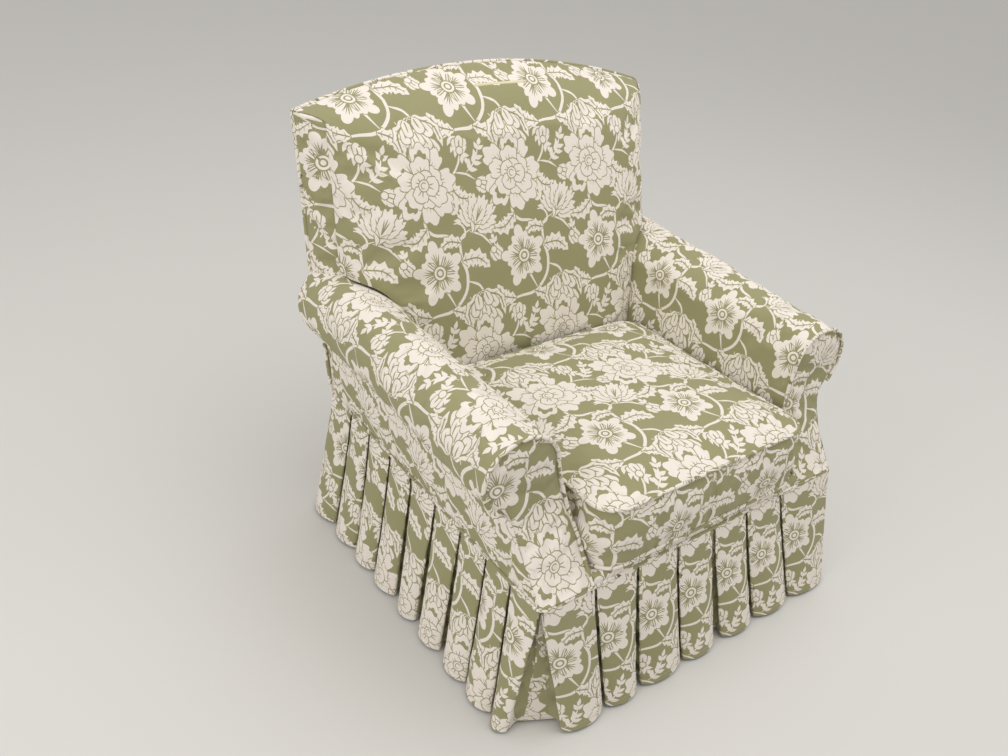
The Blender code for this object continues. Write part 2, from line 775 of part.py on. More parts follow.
def rear_rows(inset, depth, low, high_inset):
    """Rows of the flat surfaces at the rear of the back, at a depth inside its outer face."""
    rows = []
    for i in range(REAR_STEPS + 1):
        up = i / REAR_STEPS
        row = []
        for j in range(REAR_STEPS + 1):
            edge_z = mix(low, back_top_z(BACK_HALF_WIDTH) - high_inset, up)
            x = mix(-1.0, 1.0, j / REAR_STEPS) * (rear_half_width(edge_z) - inset)
            z = mix(low, back_top_z(x) - high_inset, up)
            row.append((x, rear_y(z, depth), z))
        rows.append(row)
    return rows


def make_outside_back(parent):
    bm = grid(rear_rows(SEAM_SPACE, 0.0, FOOT, SEAM_SPACE))[0]
    facing_front(bm)
    bmesh.ops.reverse_faces(bm, faces=bm.faces)
    cover = add_mesh("outside_back_cover", bm, CLOTH, parent)
    thicken(cover, COVER)


def make_burlap(parent):
    low = ARM_TOP + 2 * BACK_ARM_CLEARANCE + COVER
    inset = BACK_HALF_WIDTH - FRAME_OUT
    bm = grid(rear_rows(inset, BURLAP_REAR + BURLAP, low, CREST_MARGIN))[0]
    facing_front(bm)
    cloth = add_mesh("back_burlap", bm, JUTE, parent)
    thicken(cloth, BURLAP)


def make_back_welt(parent):
    side = []
    for i in range(WELT_STEPS + 1):
        z = mix(FOOT, back_top_z(BACK_HALF_WIDTH) - SEAM_CORD / 2, i / WELT_STEPS)
        side.append((rear_half_width(z), rear_y(z), z))
    top = []
    for i in range(WELT_STEPS + 1):
        x = mix(1.0, -1.0, i / WELT_STEPS) * (BACK_HALF_WIDTH - SEAM_CORD / 2)
        z = back_top_z(x)
        top.append((x, rear_y(z), z))
    points = side + top + [(-x, y, z) for x, y, z in reversed(side)]
    tube("back_welt", points, SEAM_CORD, CLOTH, parent)


# Seat deck and skirt

def make_deck(parent):
    """The platform under the cushion: its cloth wraps down to the skirt as the apron, over a flat pad."""
    rear = seat_point(0.0, DECK_DEPTH, 0.0)
    corner = seat_point(0.0, APRON_ROUND, 0.0)
    middle = APRON_ROUND * (1.0 - math.cos(math.radians(45.0)))
    path = [Vector((0.0, FOOT)), Vector((0.0, DECK_FRONT - APRON_ROUND))]
    path += [Vector((middle, DECK_FRONT - middle))]
    path += [Vector((corner.y, corner.z)), Vector((rear.y, rear.z))]
    outline = path + offset_path(path, COVER)[::-1]
    half = ARM_INNER - SEAM_SPACE
    add_mesh("deck_cover", prism(outline, 0, -half, half), CLOTH, parent)
    rows = []
    for height in (-COVER - GAP - DECK_PAD, -COVER - GAP):
        ends = (APRON_ROUND + COVER, DECK_DEPTH)
        rows.append([seat_point(x, along, height) for x, along in
                     ((-half, ends[0]), (half, ends[0]), (half, ends[1]), (-half, ends[1]))])
    add_mesh("deck_pad", loft(rows), PADDING, parent)


def make_skirt_welt(parent):
    """The seam cord round the skirt's top, from the front left corner on."""
    half = BODY_HALF_WIDTH - BODY_CORNER
    rear = BODY_DEPTH - BODY_CORNER
    corners = ((half, BODY_CORNER, -90.0), (half, rear, 0.0),
               (-half, rear, 90.0), (-half, BODY_CORNER, 180.0))
    points = []
    for x, y, start in corners:
        for point in arc((x, y), BODY_CORNER, start, start + 90.0, CORNER_STEPS - 1):
            points.append((point.x, point.y, SKIRT_TOP))
    tube("skirt_welt", points, SEAM_CORD, CLOTH, parent, cyclic=True)


def pleat_columns(count):
    """Shares along a side of the skirt, each with 1 for the cloth's face or 0 for a pleat's inner fold."""
    columns = [(0.0, 1.0)]
    for pleat in range(count):
        fold = 1.0 if pleat == count - 1 else 0.0
        for share, out in ((PLEAT_FOLD, 1.0), (0.5, 1.0), (1.0 - PLEAT_FOLD, 1.0), (1.0, fold)):
            columns.append(((pleat + share) / count, out))
    return columns


def make_skirt_side(name, start, end, outward, flare, side_flares, count, parent):
    """One pleated side, hanging from its start to its end along the body's edge and flaring outward."""
    along = (Vector(end) - Vector(start)).normalized()
    trim = 2 * SKIRT_CLOTH
    rows = []
    for drop in SKIRT_DROPS:
        low = Vector(start) - along * side_flares[0] * drop + along * trim
        high = Vector(end) + along * side_flares[1] * drop - along * trim
        z = mix(SKIRT_TOP - SEAM_SPACE, HEM_HEIGHT, drop)
        depth = mix(PLEAT_DEPTH_AT_TOP, PLEAT_DEPTH, drop)
        row = []
        for share, out in pleat_columns(count):
            base = low.lerp(high, share)
            place = base + Vector(outward) * (flare * drop - depth * (1.0 - out))
            row.append((place.x, place.y, z))
        rows.append(row)
    bm = grid(rows)[0]
    bm.normal_update()
    facing = sum(face.normal.dot(Vector((*outward, 0.0))) for face in bm.faces)
    if facing < 0.0:
        bmesh.ops.reverse_faces(bm, faces=bm.faces)
    skirt = add_mesh(name, bm, CLOTH, parent, smooth=50.0)
    thicken(skirt, SKIRT_CLOTH)


def make_skirt(parent):
    half = BODY_HALF_WIDTH
    rear = BODY_DEPTH
    sides = (FLARE_SIDE, FLARE_SIDE)
    ends = (FLARE_FRONT, FLARE_REAR)
    make_skirt_side("skirt_front", (-half, 0.0), (half, 0.0), (0.0, -1.0), FLARE_FRONT, sides,
                    PLEATS_ACROSS, parent)
    make_skirt_side("skirt_back", (-half, rear), (half, rear), (0.0, 1.0), FLARE_REAR, sides,
                    PLEATS_ACROSS, parent)
    make_skirt_side("skirt_left", (half, 0.0), (half, rear), (1.0, 0.0), FLARE_SIDE, ends,
                    PLEATS_ALONG, parent)
    make_skirt_side("skirt_right", (-half, 0.0), (-half, rear), (-1.0, 0.0), FLARE_SIDE, ends,
                    PLEATS_ALONG, parent)


# Cushion

def cushion_plan(inset):
    """Outline seen from above, with round corners, its sides drawn in a little between them."""
    half = CUSHION_HALF_WIDTH
    corner = CUSHION_CORNER
    points = []
    centres = ((half - corner, corner, -90.0), (half - corner, CUSHION_LENGTH - corner, 0.0),
               (corner - half, CUSHION_LENGTH - corner, 90.0), (corner - half, corner, 180.0))
    for x, y, start in centres:
        points += arc((x, y), corner, start, start + 90.0, CORNER_STEPS)
        if start in (0.0, 180.0):
            continue
        side = 1.0 if x > 0 else -1.0
        points.append(Vector((side * (half - CUSHION_WAIST), CUSHION_LENGTH / 2)))
    return offset_path(points, -inset, cyclic=True)


def cushion_ring(plan, share, height):
    centre = Vector((0.0, CUSHION_LENGTH / 2))
    return [seat_point(*(centre.lerp(point, share)), height) for point in plan]


def cushion_solid(inset):
    """The box cushion, crowned on top, with its edges notched where the seam cords lie."""
    low = SEAM_SPACE + inset
    high = SEAM_SPACE + CUSHION_THICKNESS - inset
    plan = cushion_plan(inset)
    edge = offset_path(plan, -SEAM_NOTCH, cyclic=True)
    rows = [cushion_ring(edge, share, low - SEAM_CORD) for share in CUSHION_BASE_RINGS]
    rows += [cushion_ring(edge, 1.0, low), cushion_ring(plan, 1.0, low + SEAM_NOTCH)]
    rows += [cushion_ring(plan, 1.0, high - SEAM_NOTCH), cushion_ring(edge, 1.0, high)]
    for share in CUSHION_RINGS:
        rows.append(cushion_ring(edge, share, high + CUSHION_CROWN * (1.0 - share**3)))
    bm = loft(rows)
    forward = seat_point(0.0, CUSHION_FRONT, 0.0) - seat_point(0.0, 0.0, 0.0)
    bmesh.ops.translate(bm, vec=forward, verts=bm.verts)
    return bm


def cushion_point(x, along, height):
    return seat_point(x, CUSHION_FRONT + along, SEAM_SPACE + height)


def make_cushion_cords(parent):
    for place, height in (("bottom", 0.0), ("top", CUSHION_THICKNESS)):
        points = [cushion_point(point.x, point.y, height) for point in cushion_plan(0.0)]
        tube(f"cushion_welt_{place}", points, SEAM_CORD, CLOTH, parent, cyclic=True)


def zip_box(name, look, half_length, half_width, inner, outer, parent):
    """A block on the cushion's rear face, centred on the zip's line."""
    rows = []
    middle = CUSHION_THICKNESS / 2
    for x in (-half_length, half_length):
        rows.append([cushion_point(x, along, height) for along, height in (
            (CUSHION_LENGTH + inner, middle - half_width), (CUSHION_LENGTH + outer, middle - half_width),
            (CUSHION_LENGTH + outer, middle + half_width), (CUSHION_LENGTH + inner, middle + half_width))])
    return add_mesh(name, loft(rows), look, parent)


def make_cushion(parent):
    cover = add_mesh("cushion_cover", cushion_solid(0.0), CLOTH, parent)
    hollow = add_mesh("cushion_hollow", cushion_solid(COVER), PADDING, parent)
    cut(cover, hollow)
    slot = zip_box("zip_slot", ZIP, ZIP_LENGTH / 2, ZIP_WIDTH / 2, -2 * COVER, COVER, parent)
    cut(cover, slot)
    add_mesh("cushion_core", cushion_solid(COVER + GAP), PADDING, parent)
    make_cushion_cords(parent)


def make_zip(parent):
    half = ZIP_LENGTH / 2
    tape = zip_box("cushion_zip", ZIP, half - GAP, ZIP_WIDTH / 2 - GAP, -COVER + GAP, 0.0, parent)
    teeth = zip_box("zip_teeth", ZIP, half - SLIDER_LENGTH / 2, ZIP_TEETH / 2, -COVER / 2,
                    ZIP_TEETH / 2, parent)
    combine(tape, teeth, "UNION")


def make_zip_slider(parent):
    """A channel over the teeth at the closed end of the zip, with its pull hanging from it."""
    plate = ZIP_TEETH / 4
    inner = ZIP_TEETH / 2 + GAP
    outer = inner + plate
    height = CUSHION_THICKNESS / 2
    along = CUSHION_LENGTH
    outline = [
        (along + GAP, height - outer), (along + GAP, height - inner),
        (along + inner, height - inner), (along + inner, height + inner),
        (along + GAP, height + inner), (along + GAP, height + outer),
        (along + outer + plate, height + outer), (along + outer + plate, height - outer - PULL_LENGTH),
        (along + outer, height - outer - PULL_LENGTH), (along + outer, height - outer),
    ]
    ends = (slider_x() - SLIDER_LENGTH / 2, slider_x() + SLIDER_LENGTH / 2)
    rows = [[cushion_point(x, *point) for point in outline] for x in ends]
    add_mesh("zip_slider", loft(rows), STEEL, parent)


def slider_x():
    """The slider's place with the zip closed, near the cushion's left end."""
    return ZIP_LENGTH / 2 - SLIDER_LENGTH


def centre_over_origin(root):
    """Moves the whole so that its box is centred over the origin."""
    bpy.context.view_layer.update()
    depsgraph = bpy.context.evaluated_depsgraph_get()
    ys = []
    for piece in collection("easy_chair").objects:
        if piece.type != "EMPTY":
            made = piece.evaluated_get(depsgraph)
            ys += [(made.matrix_world @ vertex.co).y for vertex in made.to_mesh().vertices]
            made.to_mesh_clear()
    root.location.y = -(min(ys) + max(ys)) / 2


def add_empty(name, place, parent):
    made = bpy.data.objects.new(name, None)
    made.location = place
    made.parent = parent
    collection("easy_chair").objects.link(made)
    return made


def make_frame(parent):
    make_back_posts(parent)
    make_crest_rail(parent)
    make_lower_back_rail(parent)
    make_seat_rails(parent)
    make_corner_blocks(parent)
    make_front_legs(parent)
    make_glides(parent)
    make_arm_stumps(parent)
    make_arm_rails(parent)
    make_seat_springs(parent)
    make_dust_cover(parent)


def make_upholstery(parent):
    frame_space = make_frame_space(parent)
    make_arm_pads(frame_space, parent)
    make_arm_covers(frame_space, parent)
    make_arm_front_panels(parent)
    make_arm_welts(parent)
    make_inside_back(parent)
    make_back_pad(parent)
    make_burlap(parent)
    make_outside_back(parent)
    make_back_welt(parent)
    make_deck(parent)
    make_skirt_welt(parent)
    make_skirt(parent)


def main():
    clear_scene()
    root = add_empty("chair", (0.0, 0.0, 0.0), None)
    make_frame(root)
    make_upholstery(root)
    cushion = add_empty("seat_cushion", (0.0, 0.0, 0.0), root)
    make_cushion(cushion)
    make_zip(cushion)
    make_zip_slider(cushion)
    centre_over_origin(root)


main()
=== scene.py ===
"""The looks of the skirted easy chair: printed cloth, padding, springs, wooden frame and a studio stage.

Each cloth panel is cut in its own flat coordinates, with the print's outlines cut into it, and is then laid
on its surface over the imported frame.
"""

import math
import random

import bpy
import numpy as np
from mathutils import Matrix, Vector, geometry


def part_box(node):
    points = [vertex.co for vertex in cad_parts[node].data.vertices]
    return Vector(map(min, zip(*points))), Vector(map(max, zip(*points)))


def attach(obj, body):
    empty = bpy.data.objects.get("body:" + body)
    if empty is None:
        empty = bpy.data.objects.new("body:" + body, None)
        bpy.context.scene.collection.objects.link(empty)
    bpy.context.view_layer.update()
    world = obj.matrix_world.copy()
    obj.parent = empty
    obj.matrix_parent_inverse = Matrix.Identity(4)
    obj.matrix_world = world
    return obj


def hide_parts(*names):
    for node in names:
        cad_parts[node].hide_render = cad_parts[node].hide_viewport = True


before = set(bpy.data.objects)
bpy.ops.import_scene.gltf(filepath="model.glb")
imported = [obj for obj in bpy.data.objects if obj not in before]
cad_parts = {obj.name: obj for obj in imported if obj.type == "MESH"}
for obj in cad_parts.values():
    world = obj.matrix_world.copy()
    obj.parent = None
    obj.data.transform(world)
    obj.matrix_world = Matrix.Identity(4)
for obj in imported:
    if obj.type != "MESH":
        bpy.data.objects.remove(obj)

bl_info = {
    "name": "Skirted easy chair",
    "version": (1, 0, 0),
    "blender": (4, 5, 0),
    "location": "View3D > Sidebar > Easy chair",
    "description": "Dresses the frame of an easy chair in printed cloth",
    "category": "Object",
}

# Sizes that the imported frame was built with, with the skirt's top front edge at y = 0
SEAM_CORD = 0.0035
SEAM_SPACE = 0.0038
BODY_HALF_WIDTH = 0.344
BODY_DEPTH = 0.670
BODY_CORNER = 0.014
SKIRT_TOP = 0.274
HEM_HEIGHT = 0.006
FOOT = SKIRT_TOP + SEAM_SPACE
ARM_TOP = 0.5375
ROLL_RADIUS = 0.0656
ROLL_X = 0.335
ROLL_Z = ARM_TOP - ROLL_RADIUS
ARM_INNER = 0.243
ARM_SETBACK = 0.087
ARM_SWEEP = 2.2
ARM_KNEE = 0.066
NECK_OUT = 0.010
NECK_ANGLE = math.radians(52.0)
NECK_BLEND = 0.012
BACK_TOP = 0.852
BACK_ARCH = 0.054
BACK_HALF_WIDTH = 0.3705
BACK_LEAN = 0.068
BACK_EDGE = 0.050
BACK_EDGE_SLANT = 0.032
BACK_DEPTH_LOW = 0.168
BACK_DEPTH_HIGH = 0.097
BACK_LOW = FOOT + 0.086
BACK_ROLL = 0.100
DECK_FRONT = 0.2925
DECK_DEPTH = 0.560
APRON_ROUND = 0.010
SEAT_TILT = math.radians(3.5)
CUSHION_FRONT = -0.004
CUSHION_LENGTH = 0.488
CUSHION_HALF_WIDTH = 0.234
CUSHION_THICKNESS = 0.113
CUSHION_CROWN = 0.022
CUSHION_CORNER = 0.045
CUSHION_WAIST = 0.004
ORIGIN_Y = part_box("skirt_welt")[0].y + SEAM_CORD

SHELL = 0.0017
FOAM_INSET = 0.006
LINING_STEP = 2.6
UNDER_CORD = 0.0012


def mix(a, b, share):
    return a + (b - a) * share


# The print, one repeat of it in metres

PRINT_SCALE = 0.72
TILE_WIDTH = 0.250 * PRINT_SCALE
TILE_HEIGHT = 0.420 * PRINT_SCALE
TILE_SHIFT = 0.125 * PRINT_SCALE
LINE = 0.0023
PRINT_DETAIL = 0.00042
PRINT_GRAIN = 0.0003
GROUND = 0.0
BLOOM = 1.0


def turned(point, angle, at):
    c, s = math.cos(angle), math.sin(angle)
    return (at[0] + point[0] * c - point[1] * s, at[1] + point[0] * s + point[1] * c)


def smooth_line(points, steps=5):
    """A curve through the points, with a few points between each two."""
    ends = [points[0]] + list(points) + [points[-1]]
    line = []
    for a, b, c, d in zip(ends, ends[1:], ends[2:], ends[3:]):
        for i in range(steps):
            t = i / steps
            line.append(tuple(0.5 * (2 * q + (r - p) * t + (2 * p - 5 * q + 4 * r - s) * t**2
                                     + (3 * q - p - 3 * r + s) * t**3) for p, q, r, s in zip(a, b, c, d)))
    return line + [tuple(points[-1])]


def stroke(points, widest, tone=BLOOM, taper=(0.3, 0.15), steps=4):
    """A line of varying width: thin at both ends, and widest along its middle."""
    line = smooth_line(points, steps)
    left, right = [], []
    last = len(line) - 1
    for i, (x, y) in enumerate(line):
        ahead, behind = line[min(i + 1, last)], line[max(i - 1, 0)]
        dx, dy = ahead[0] - behind[0], ahead[1] - behind[1]
        size = math.hypot(dx, dy) or 1.0
        share = i / last
        half = widest / 2 * min(taper[0] + 3.0 * share, taper[1] + 3.0 * (1.0 - share), 1.0)
        left.append((x - dy / size * half, y + dx / size * half))
        right.append((x + dy / size * half, y - dx / size * half))
    return [(left + right[::-1], tone)]


def edged(shape, line=LINE):
    """A shape with the thin ground line that parts it from what lies behind."""
    cx = sum(x for x, y in shape) / len(shape)
    cy = sum(y for x, y in shape) / len(shape)
    wide = []
    for x, y in shape:
        size = math.hypot(x - cx, y - cy) or 1.0
        wide.append((x + (x - cx) / size * line, y + (y - cy) / size * line))
    return [(wide, GROUND), (shape, BLOOM)]


def petal(at, angle, length, width, lobes=3, frill=0.10, points=16, veins=3, hollow=False):
    """A petal that starts at a point and widens to a frilled edge, with veins from its foot."""
    shape = []
    for i in range(points + 1):
        t = i / points
        turn = math.pi * (t - 0.5)
        reach = math.cos(turn) ** 0.55
        side = math.sin(turn)
        wave = 1.0 + frill * (abs(math.cos(lobes * turn)) - 0.5)
        x = length * (0.42 + 0.58 * reach * wave) if 0 < i < points else length * 0.30
        y = width / 2 * side * (0.75 + 0.25 * reach) * wave
        shape.append((x, y))
    shape = [(0.0, 0.0)] + shape
    layers = edged([turned(p, angle, at) for p in shape])
    if hollow:
        inner = [(length * 0.30 + 0.62 * (x - length * 0.15), y * 0.60) for x, y in shape[1:]]
        layers.append(([turned(p, angle, at) for p in inner], GROUND))
        return layers
    for k in range(veins):
        spread = (k + 0.5) / veins - 0.5
        tip = (length * (0.74 - 0.5 * spread**2), width * 0.62 * spread)
        mid = (length * 0.45, width * 0.26 * spread)
        line = [turned(p, angle, at) for p in ((length * 0.16, 0.0), mid, tip)]
        layers += stroke(line, LINE * 1.25, GROUND, (0.9, 0.1), 3)
    return layers


def disc(at, radius, points=14):
    return [(at[0] + radius * math.cos(2 * math.pi * i / points),
             at[1] + radius * math.sin(2 * math.pi * i / points)) for i in range(points)]


def peony(at, radius, turn=0.0):
    """A full peony: three rings of frilled petals round a tight heart."""
    chance = random.Random(3)
    layers = []
    rings = ((8, 1.00, 0.72, 3, 0.26), (6, 0.70, 0.62, 3, 0.22), (4, 0.42, 0.52, 2, 0.16))
    for ring, (count, reach, width, lobes, frill) in enumerate(rings):
        for k in range(count):
            angle = turn + ring * 0.4 + 2 * math.pi * (k + 0.30 * chance.uniform(-1, 1)) / count
            size = radius * reach * chance.uniform(0.84, 1.12)
            hollow = ring == 0 and k in (2, 5)
            layers += petal(at, angle, size, radius * width * chance.uniform(0.9, 1.1), lobes, frill,
                            veins=(4, 3, 2)[ring], hollow=hollow)
    layers += edged(disc(at, radius * 0.15))
    curl = [turned((radius * 0.09 * math.cos(a), radius * 0.09 * math.sin(a)), turn, at)
            for a in (0.3, 1.5, 2.7, 3.9, 5.1)]
    return layers + stroke(curl, LINE, GROUND, (0.5, 0.2), 3)


def blossom(at, radius, turn=0.0):
    """An open blossom of five cleft petals round a ringed eye, with stamens between them."""
    layers = []
    for k in range(5):
        angle = turn + 2 * math.pi * k / 5
        layers += petal(at, angle, radius * (1.08 if k % 2 else 0.96), radius * 0.80, 2, 0.46, veins=4)
    for k in range(5):
        angle = turn + 2 * math.pi * (k + 0.5) / 5
        line = [turned((radius * r, 0.0), angle, at) for r in (0.15, 0.45, 0.66)]
        layers += stroke(line, LINE * 3.6, GROUND, (0.5, 0.4), 2)
        layers += stroke(line, LINE * 1.6, BLOOM, (0.5, 0.6), 2)
        layers.append((disc(turned((radius * 0.70, 0.0), angle, at), radius * 0.060, 8), BLOOM))
    layers += edged(disc(at, radius * 0.25), LINE * 1.5)
    return layers + [(disc(at, radius * 0.16), GROUND), (disc(at, radius * 0.10, 10), BLOOM)]


def carnation(at, radius, turn):
    """A carnation from the side: a fan of toothed petals over a cupped calyx."""
    layers = []
    for spread, reach in ((-1.25, 0.80), (1.25, 0.80), (-0.85, 0.95), (0.85, 0.95), (-0.42, 1.04),
                          (0.42, 1.04), (0.0, 1.08)):
        layers += petal(at, turn + spread, radius * reach, radius * 0.56, 4, 0.34, 20, 3)
    for side in (-1, 1):
        for lean in (0.25, 0.75):
            tip = turned((radius * 0.36, side * radius * 0.13), turn + side * lean, at)
            foot = turned((-radius * 0.30, 0.0), turn, at)
            belly = turned((radius * 0.05, side * radius * 0.20), turn, at)
            layers += edged([p for p in smooth_line([foot, belly, tip], 4)]
                            + [p for p in smooth_line([tip, at, foot], 3)][1:-1])
    return layers


def artichoke(at, radius, turn):
    """A long bloom of scales that open like a pine cone, between two side leaves."""
    layers = []
    for side in (-1, 1):
        layers += leaf(turned((-radius * 0.75, 0.0), turn, at),
                       turned((radius * 0.55, side * radius * 0.78), turn, at),
                       side * 0.25, radius * 0.42)
    for row in range(5):
        foot = radius * (0.55 - 0.30 * row)
        wide = 3 if row % 2 else 2
        for k in range(wide):
            offset = (k - (wide - 1) / 2) * radius * 0.34
            spot = turned((foot - abs(offset) * 0.5, offset), turn, at)
            layers += petal(spot, turn + offset / radius * 0.9, radius * 0.62, radius * 0.42, 1, 0.0, 13, 1)
    return layers


def leaf(foot, tip, bend, width, lobes=5):
    """A lobed leaf on a bent midrib."""
    dx, dy = tip[0] - foot[0], tip[1] - foot[1]
    mid = (foot[0] + dx / 2 - dy * bend, foot[1] + dy / 2 + dx * bend)
    rib = smooth_line([foot, mid, tip], 14)
    left, right = [], []
    last = len(rib) - 1
    for i, (x, y) in enumerate(rib):
        ahead, behind = rib[min(i + 1, last)], rib[max(i - 1, 0)]
        ex, ey = ahead[0] - behind[0], ahead[1] - behind[1]
        size = math.hypot(ex, ey) or 1.0
        share = i / last
        body = math.sin(math.pi * share**0.8) ** 0.8
        tooth = 1.0 - 0.42 * abs(math.sin(math.pi * lobes * share))
        half = width / 2 * body * tooth
        left.append((x - ey / size * half, y + ex / size * half))
        right.append((x + ey / size * half, y - ex / size * half))
    layers = edged(left + right[::-1][1:-1])
    layers += stroke([rib[1], rib[last // 2], rib[int(last * 0.85)]], LINE * 1.6, GROUND, (0.9, 0.2), 4)
    for k in range(1, lobes):
        spot = int(last * (k - 0.2) / lobes)
        for edge in (left, right):
            goal = edge[min(spot + 3, last)]
            x, y = rib[spot]
            end = (x + (goal[0] - x) * 0.7, y + (goal[1] - y) * 0.7)
            layers += stroke([(x, y), end], LINE * 0.9, GROUND, (0.9, 0.2), 3)
    return layers


def leaflet(foot, angle, length, width):
    shape = [turned((length * t, width / 2 * math.sin(math.pi * t**0.75)), angle, foot) for t in
             (0.0, 0.2, 0.45, 0.7, 0.88, 1.0)]
    back = [turned((length * t, -width / 2 * math.sin(math.pi * t**0.75)), angle, foot) for t in
            (0.88, 0.7, 0.45, 0.2)]
    return [(shape + back, BLOOM)]


def sprig(points, pairs, length=0.021, width=0.0085, spread=0.75):
    """A stem with leaflets in pairs and one at its tip."""
    line = smooth_line(points, 6)
    layers = stroke(points, LINE * 1.8)
    last = len(line) - 1
    for k in range(pairs):
        spot = int(last * (k + 0.8) / (pairs + 0.3))
        x, y = line[spot]
        bx, by = line[max(spot - 2, 0)]
        angle = math.atan2(y - by, x - bx)
        size = length * (1.0 - 0.25 * k / pairs)
        for side in (-1, 1):
            layers += leaflet((x, y), angle + side * spread, size, width)
    x, y = line[-1]
    bx, by = line[-3]
    return layers + leaflet((x, y), math.atan2(y - by, x - bx), length * 0.9, width)


def bud(at, radius, turn):
    """A round bud of three petals in a leafy cup."""
    layers = []
    for spread in (-0.55, 0.55, 0.0):
        reach = radius * (1.7 if spread == 0.0 else 1.5)
        layers += petal(at, turn + spread, reach, radius * 1.15, 2, 0.12, 13, 1)
    for side in (-1, 1):
        foot = turned((-radius * 0.35, 0.0), turn, at)
        layers += leaflet(foot, turn + side * 0.9, radius * 1.35, radius * 0.55)
    return layers + edged(disc(at, radius * 0.42, 10))


def tendril(at, angle, size, side, width=0.0034):
    """A vine's end that curls in."""
    points = []
    for i in range(9):
        t = i / 8
        turn = side * 4.4 * t**1.4
        reach = size * (1.0 - 0.72 * t)
        points.append((reach * math.sin(turn) * 0.9 + size * 0.9 * t,
                       side * reach * (1 - math.cos(turn)) * 0.9))
    return stroke([turned(p, angle, at) for p in points], width, BLOOM, (0.8, 0.5), 3)


def repeat_unit():
    """One repeat of the print, in drawing order."""
    layers = []
    layers += stroke([(0.012, 0.012), (0.055, 0.030), (0.110, 0.035),
                      (0.150, 0.070), (0.160, 0.115), (0.148, 0.160),
                      (0.155, 0.205), (0.190, 0.222)], 0.0080)
    layers += stroke([(0.150, 0.178), (0.120, 0.212), (0.080, 0.222), (0.060, 0.250), (0.072, 0.300)], 0.0070)
    layers += stroke([(0.158, 0.100), (0.190, 0.085), (0.205, 0.060), (0.205, 0.040)], 0.0060)
    layers += stroke([(0.120, 0.042), (0.105, 0.070), (0.095, 0.090), (0.090, 0.110)], 0.0060)
    layers += stroke([(0.118, 0.330), (0.150, 0.345), (0.172, 0.372), (0.178, 0.395)], 0.0054)
    layers += stroke([(0.160, 0.352), (0.190, 0.346), (0.215, 0.330)], 0.0050)
    layers += stroke([(0.180, 0.215), (0.215, 0.200), (0.240, 0.172)], 0.0050)
    layers += tendril((0.156, 0.130), 0.30, 0.036, 1, 0.0050)
    layers += tendril((0.082, 0.222), 2.60, 0.034, 1, 0.0050)
    layers += tendril((0.150, 0.205), 2.20, 0.030, -1, 0.0046)
    layers += leaf((0.150, 0.150), (0.228, 0.122), 0.18, 0.052, 6)
    layers += leaf((0.152, 0.192), (0.092, 0.184), -0.20, 0.038, 5)
    layers += leaf((0.066, 0.238), (-0.008, 0.214), 0.20, 0.048, 6)
    layers += leaf((0.136, 0.336), (0.208, 0.290), -0.22, 0.052, 6)
    layers += leaf((0.050, 0.028), (-0.004, 0.074), 0.20, 0.044, 5)
    layers += leaf((0.110, 0.036), (0.152, -0.012), 0.22, 0.040, 5)
    layers += sprig([(0.192, 0.350), (0.218, 0.372), (0.234, 0.408)], 4, 0.026, 0.0115)
    layers += sprig([(0.036, 0.024), (0.044, -0.008), (0.066, -0.038)], 4, 0.026, 0.0115)
    layers += sprig([(0.170, 0.235), (0.150, 0.262), (0.138, 0.292)], 3, 0.026, 0.0115)
    layers += sprig([(0.222, 0.198), (0.240, 0.226), (0.250, 0.262)], 4, 0.024, 0.0105)
    layers += sprig([(0.160, 0.060), (0.172, 0.034), (0.166, 0.004)], 3, 0.024, 0.0105)
    layers += sprig([(0.020, 0.140), (0.004, 0.158), (-0.004, 0.186)], 3, 0.022, 0.0100)
    layers += bud((0.180, 0.400), 0.0205, 1.5)
    layers += bud((0.222, 0.322), 0.0190, -0.4)
    layers += bud((0.244, 0.162), 0.0190, -0.9)
    layers += artichoke((0.205, 0.018), 0.066, -1.35)
    layers += carnation((0.196, 0.226), 0.066, 1.05)
    layers += blossom((0.084, 0.132), 0.065, 0.5)
    layers += peony((0.072, 0.334), 0.083, 0.2)
    return [(np.array(shape) * PRINT_SCALE, tone) for shape, tone in layers]


# Cutting cloth

def thinned(shape, tolerance):
    """A closed shape without the points that lie almost on a straight line between their neighbours."""
    kept = [shape[0]]
    for point, following in zip(shape[1:], np.vstack([shape[2:], shape[:1]])):
        run, step = following - kept[-1], point - kept[-1]
        size = max(math.hypot(*run), 1e-9)
        if abs(run[0] * step[1] - run[1] * step[0]) / size > tolerance:
            kept.append(point)
    return np.array(kept) if len(kept) > 3 else shape


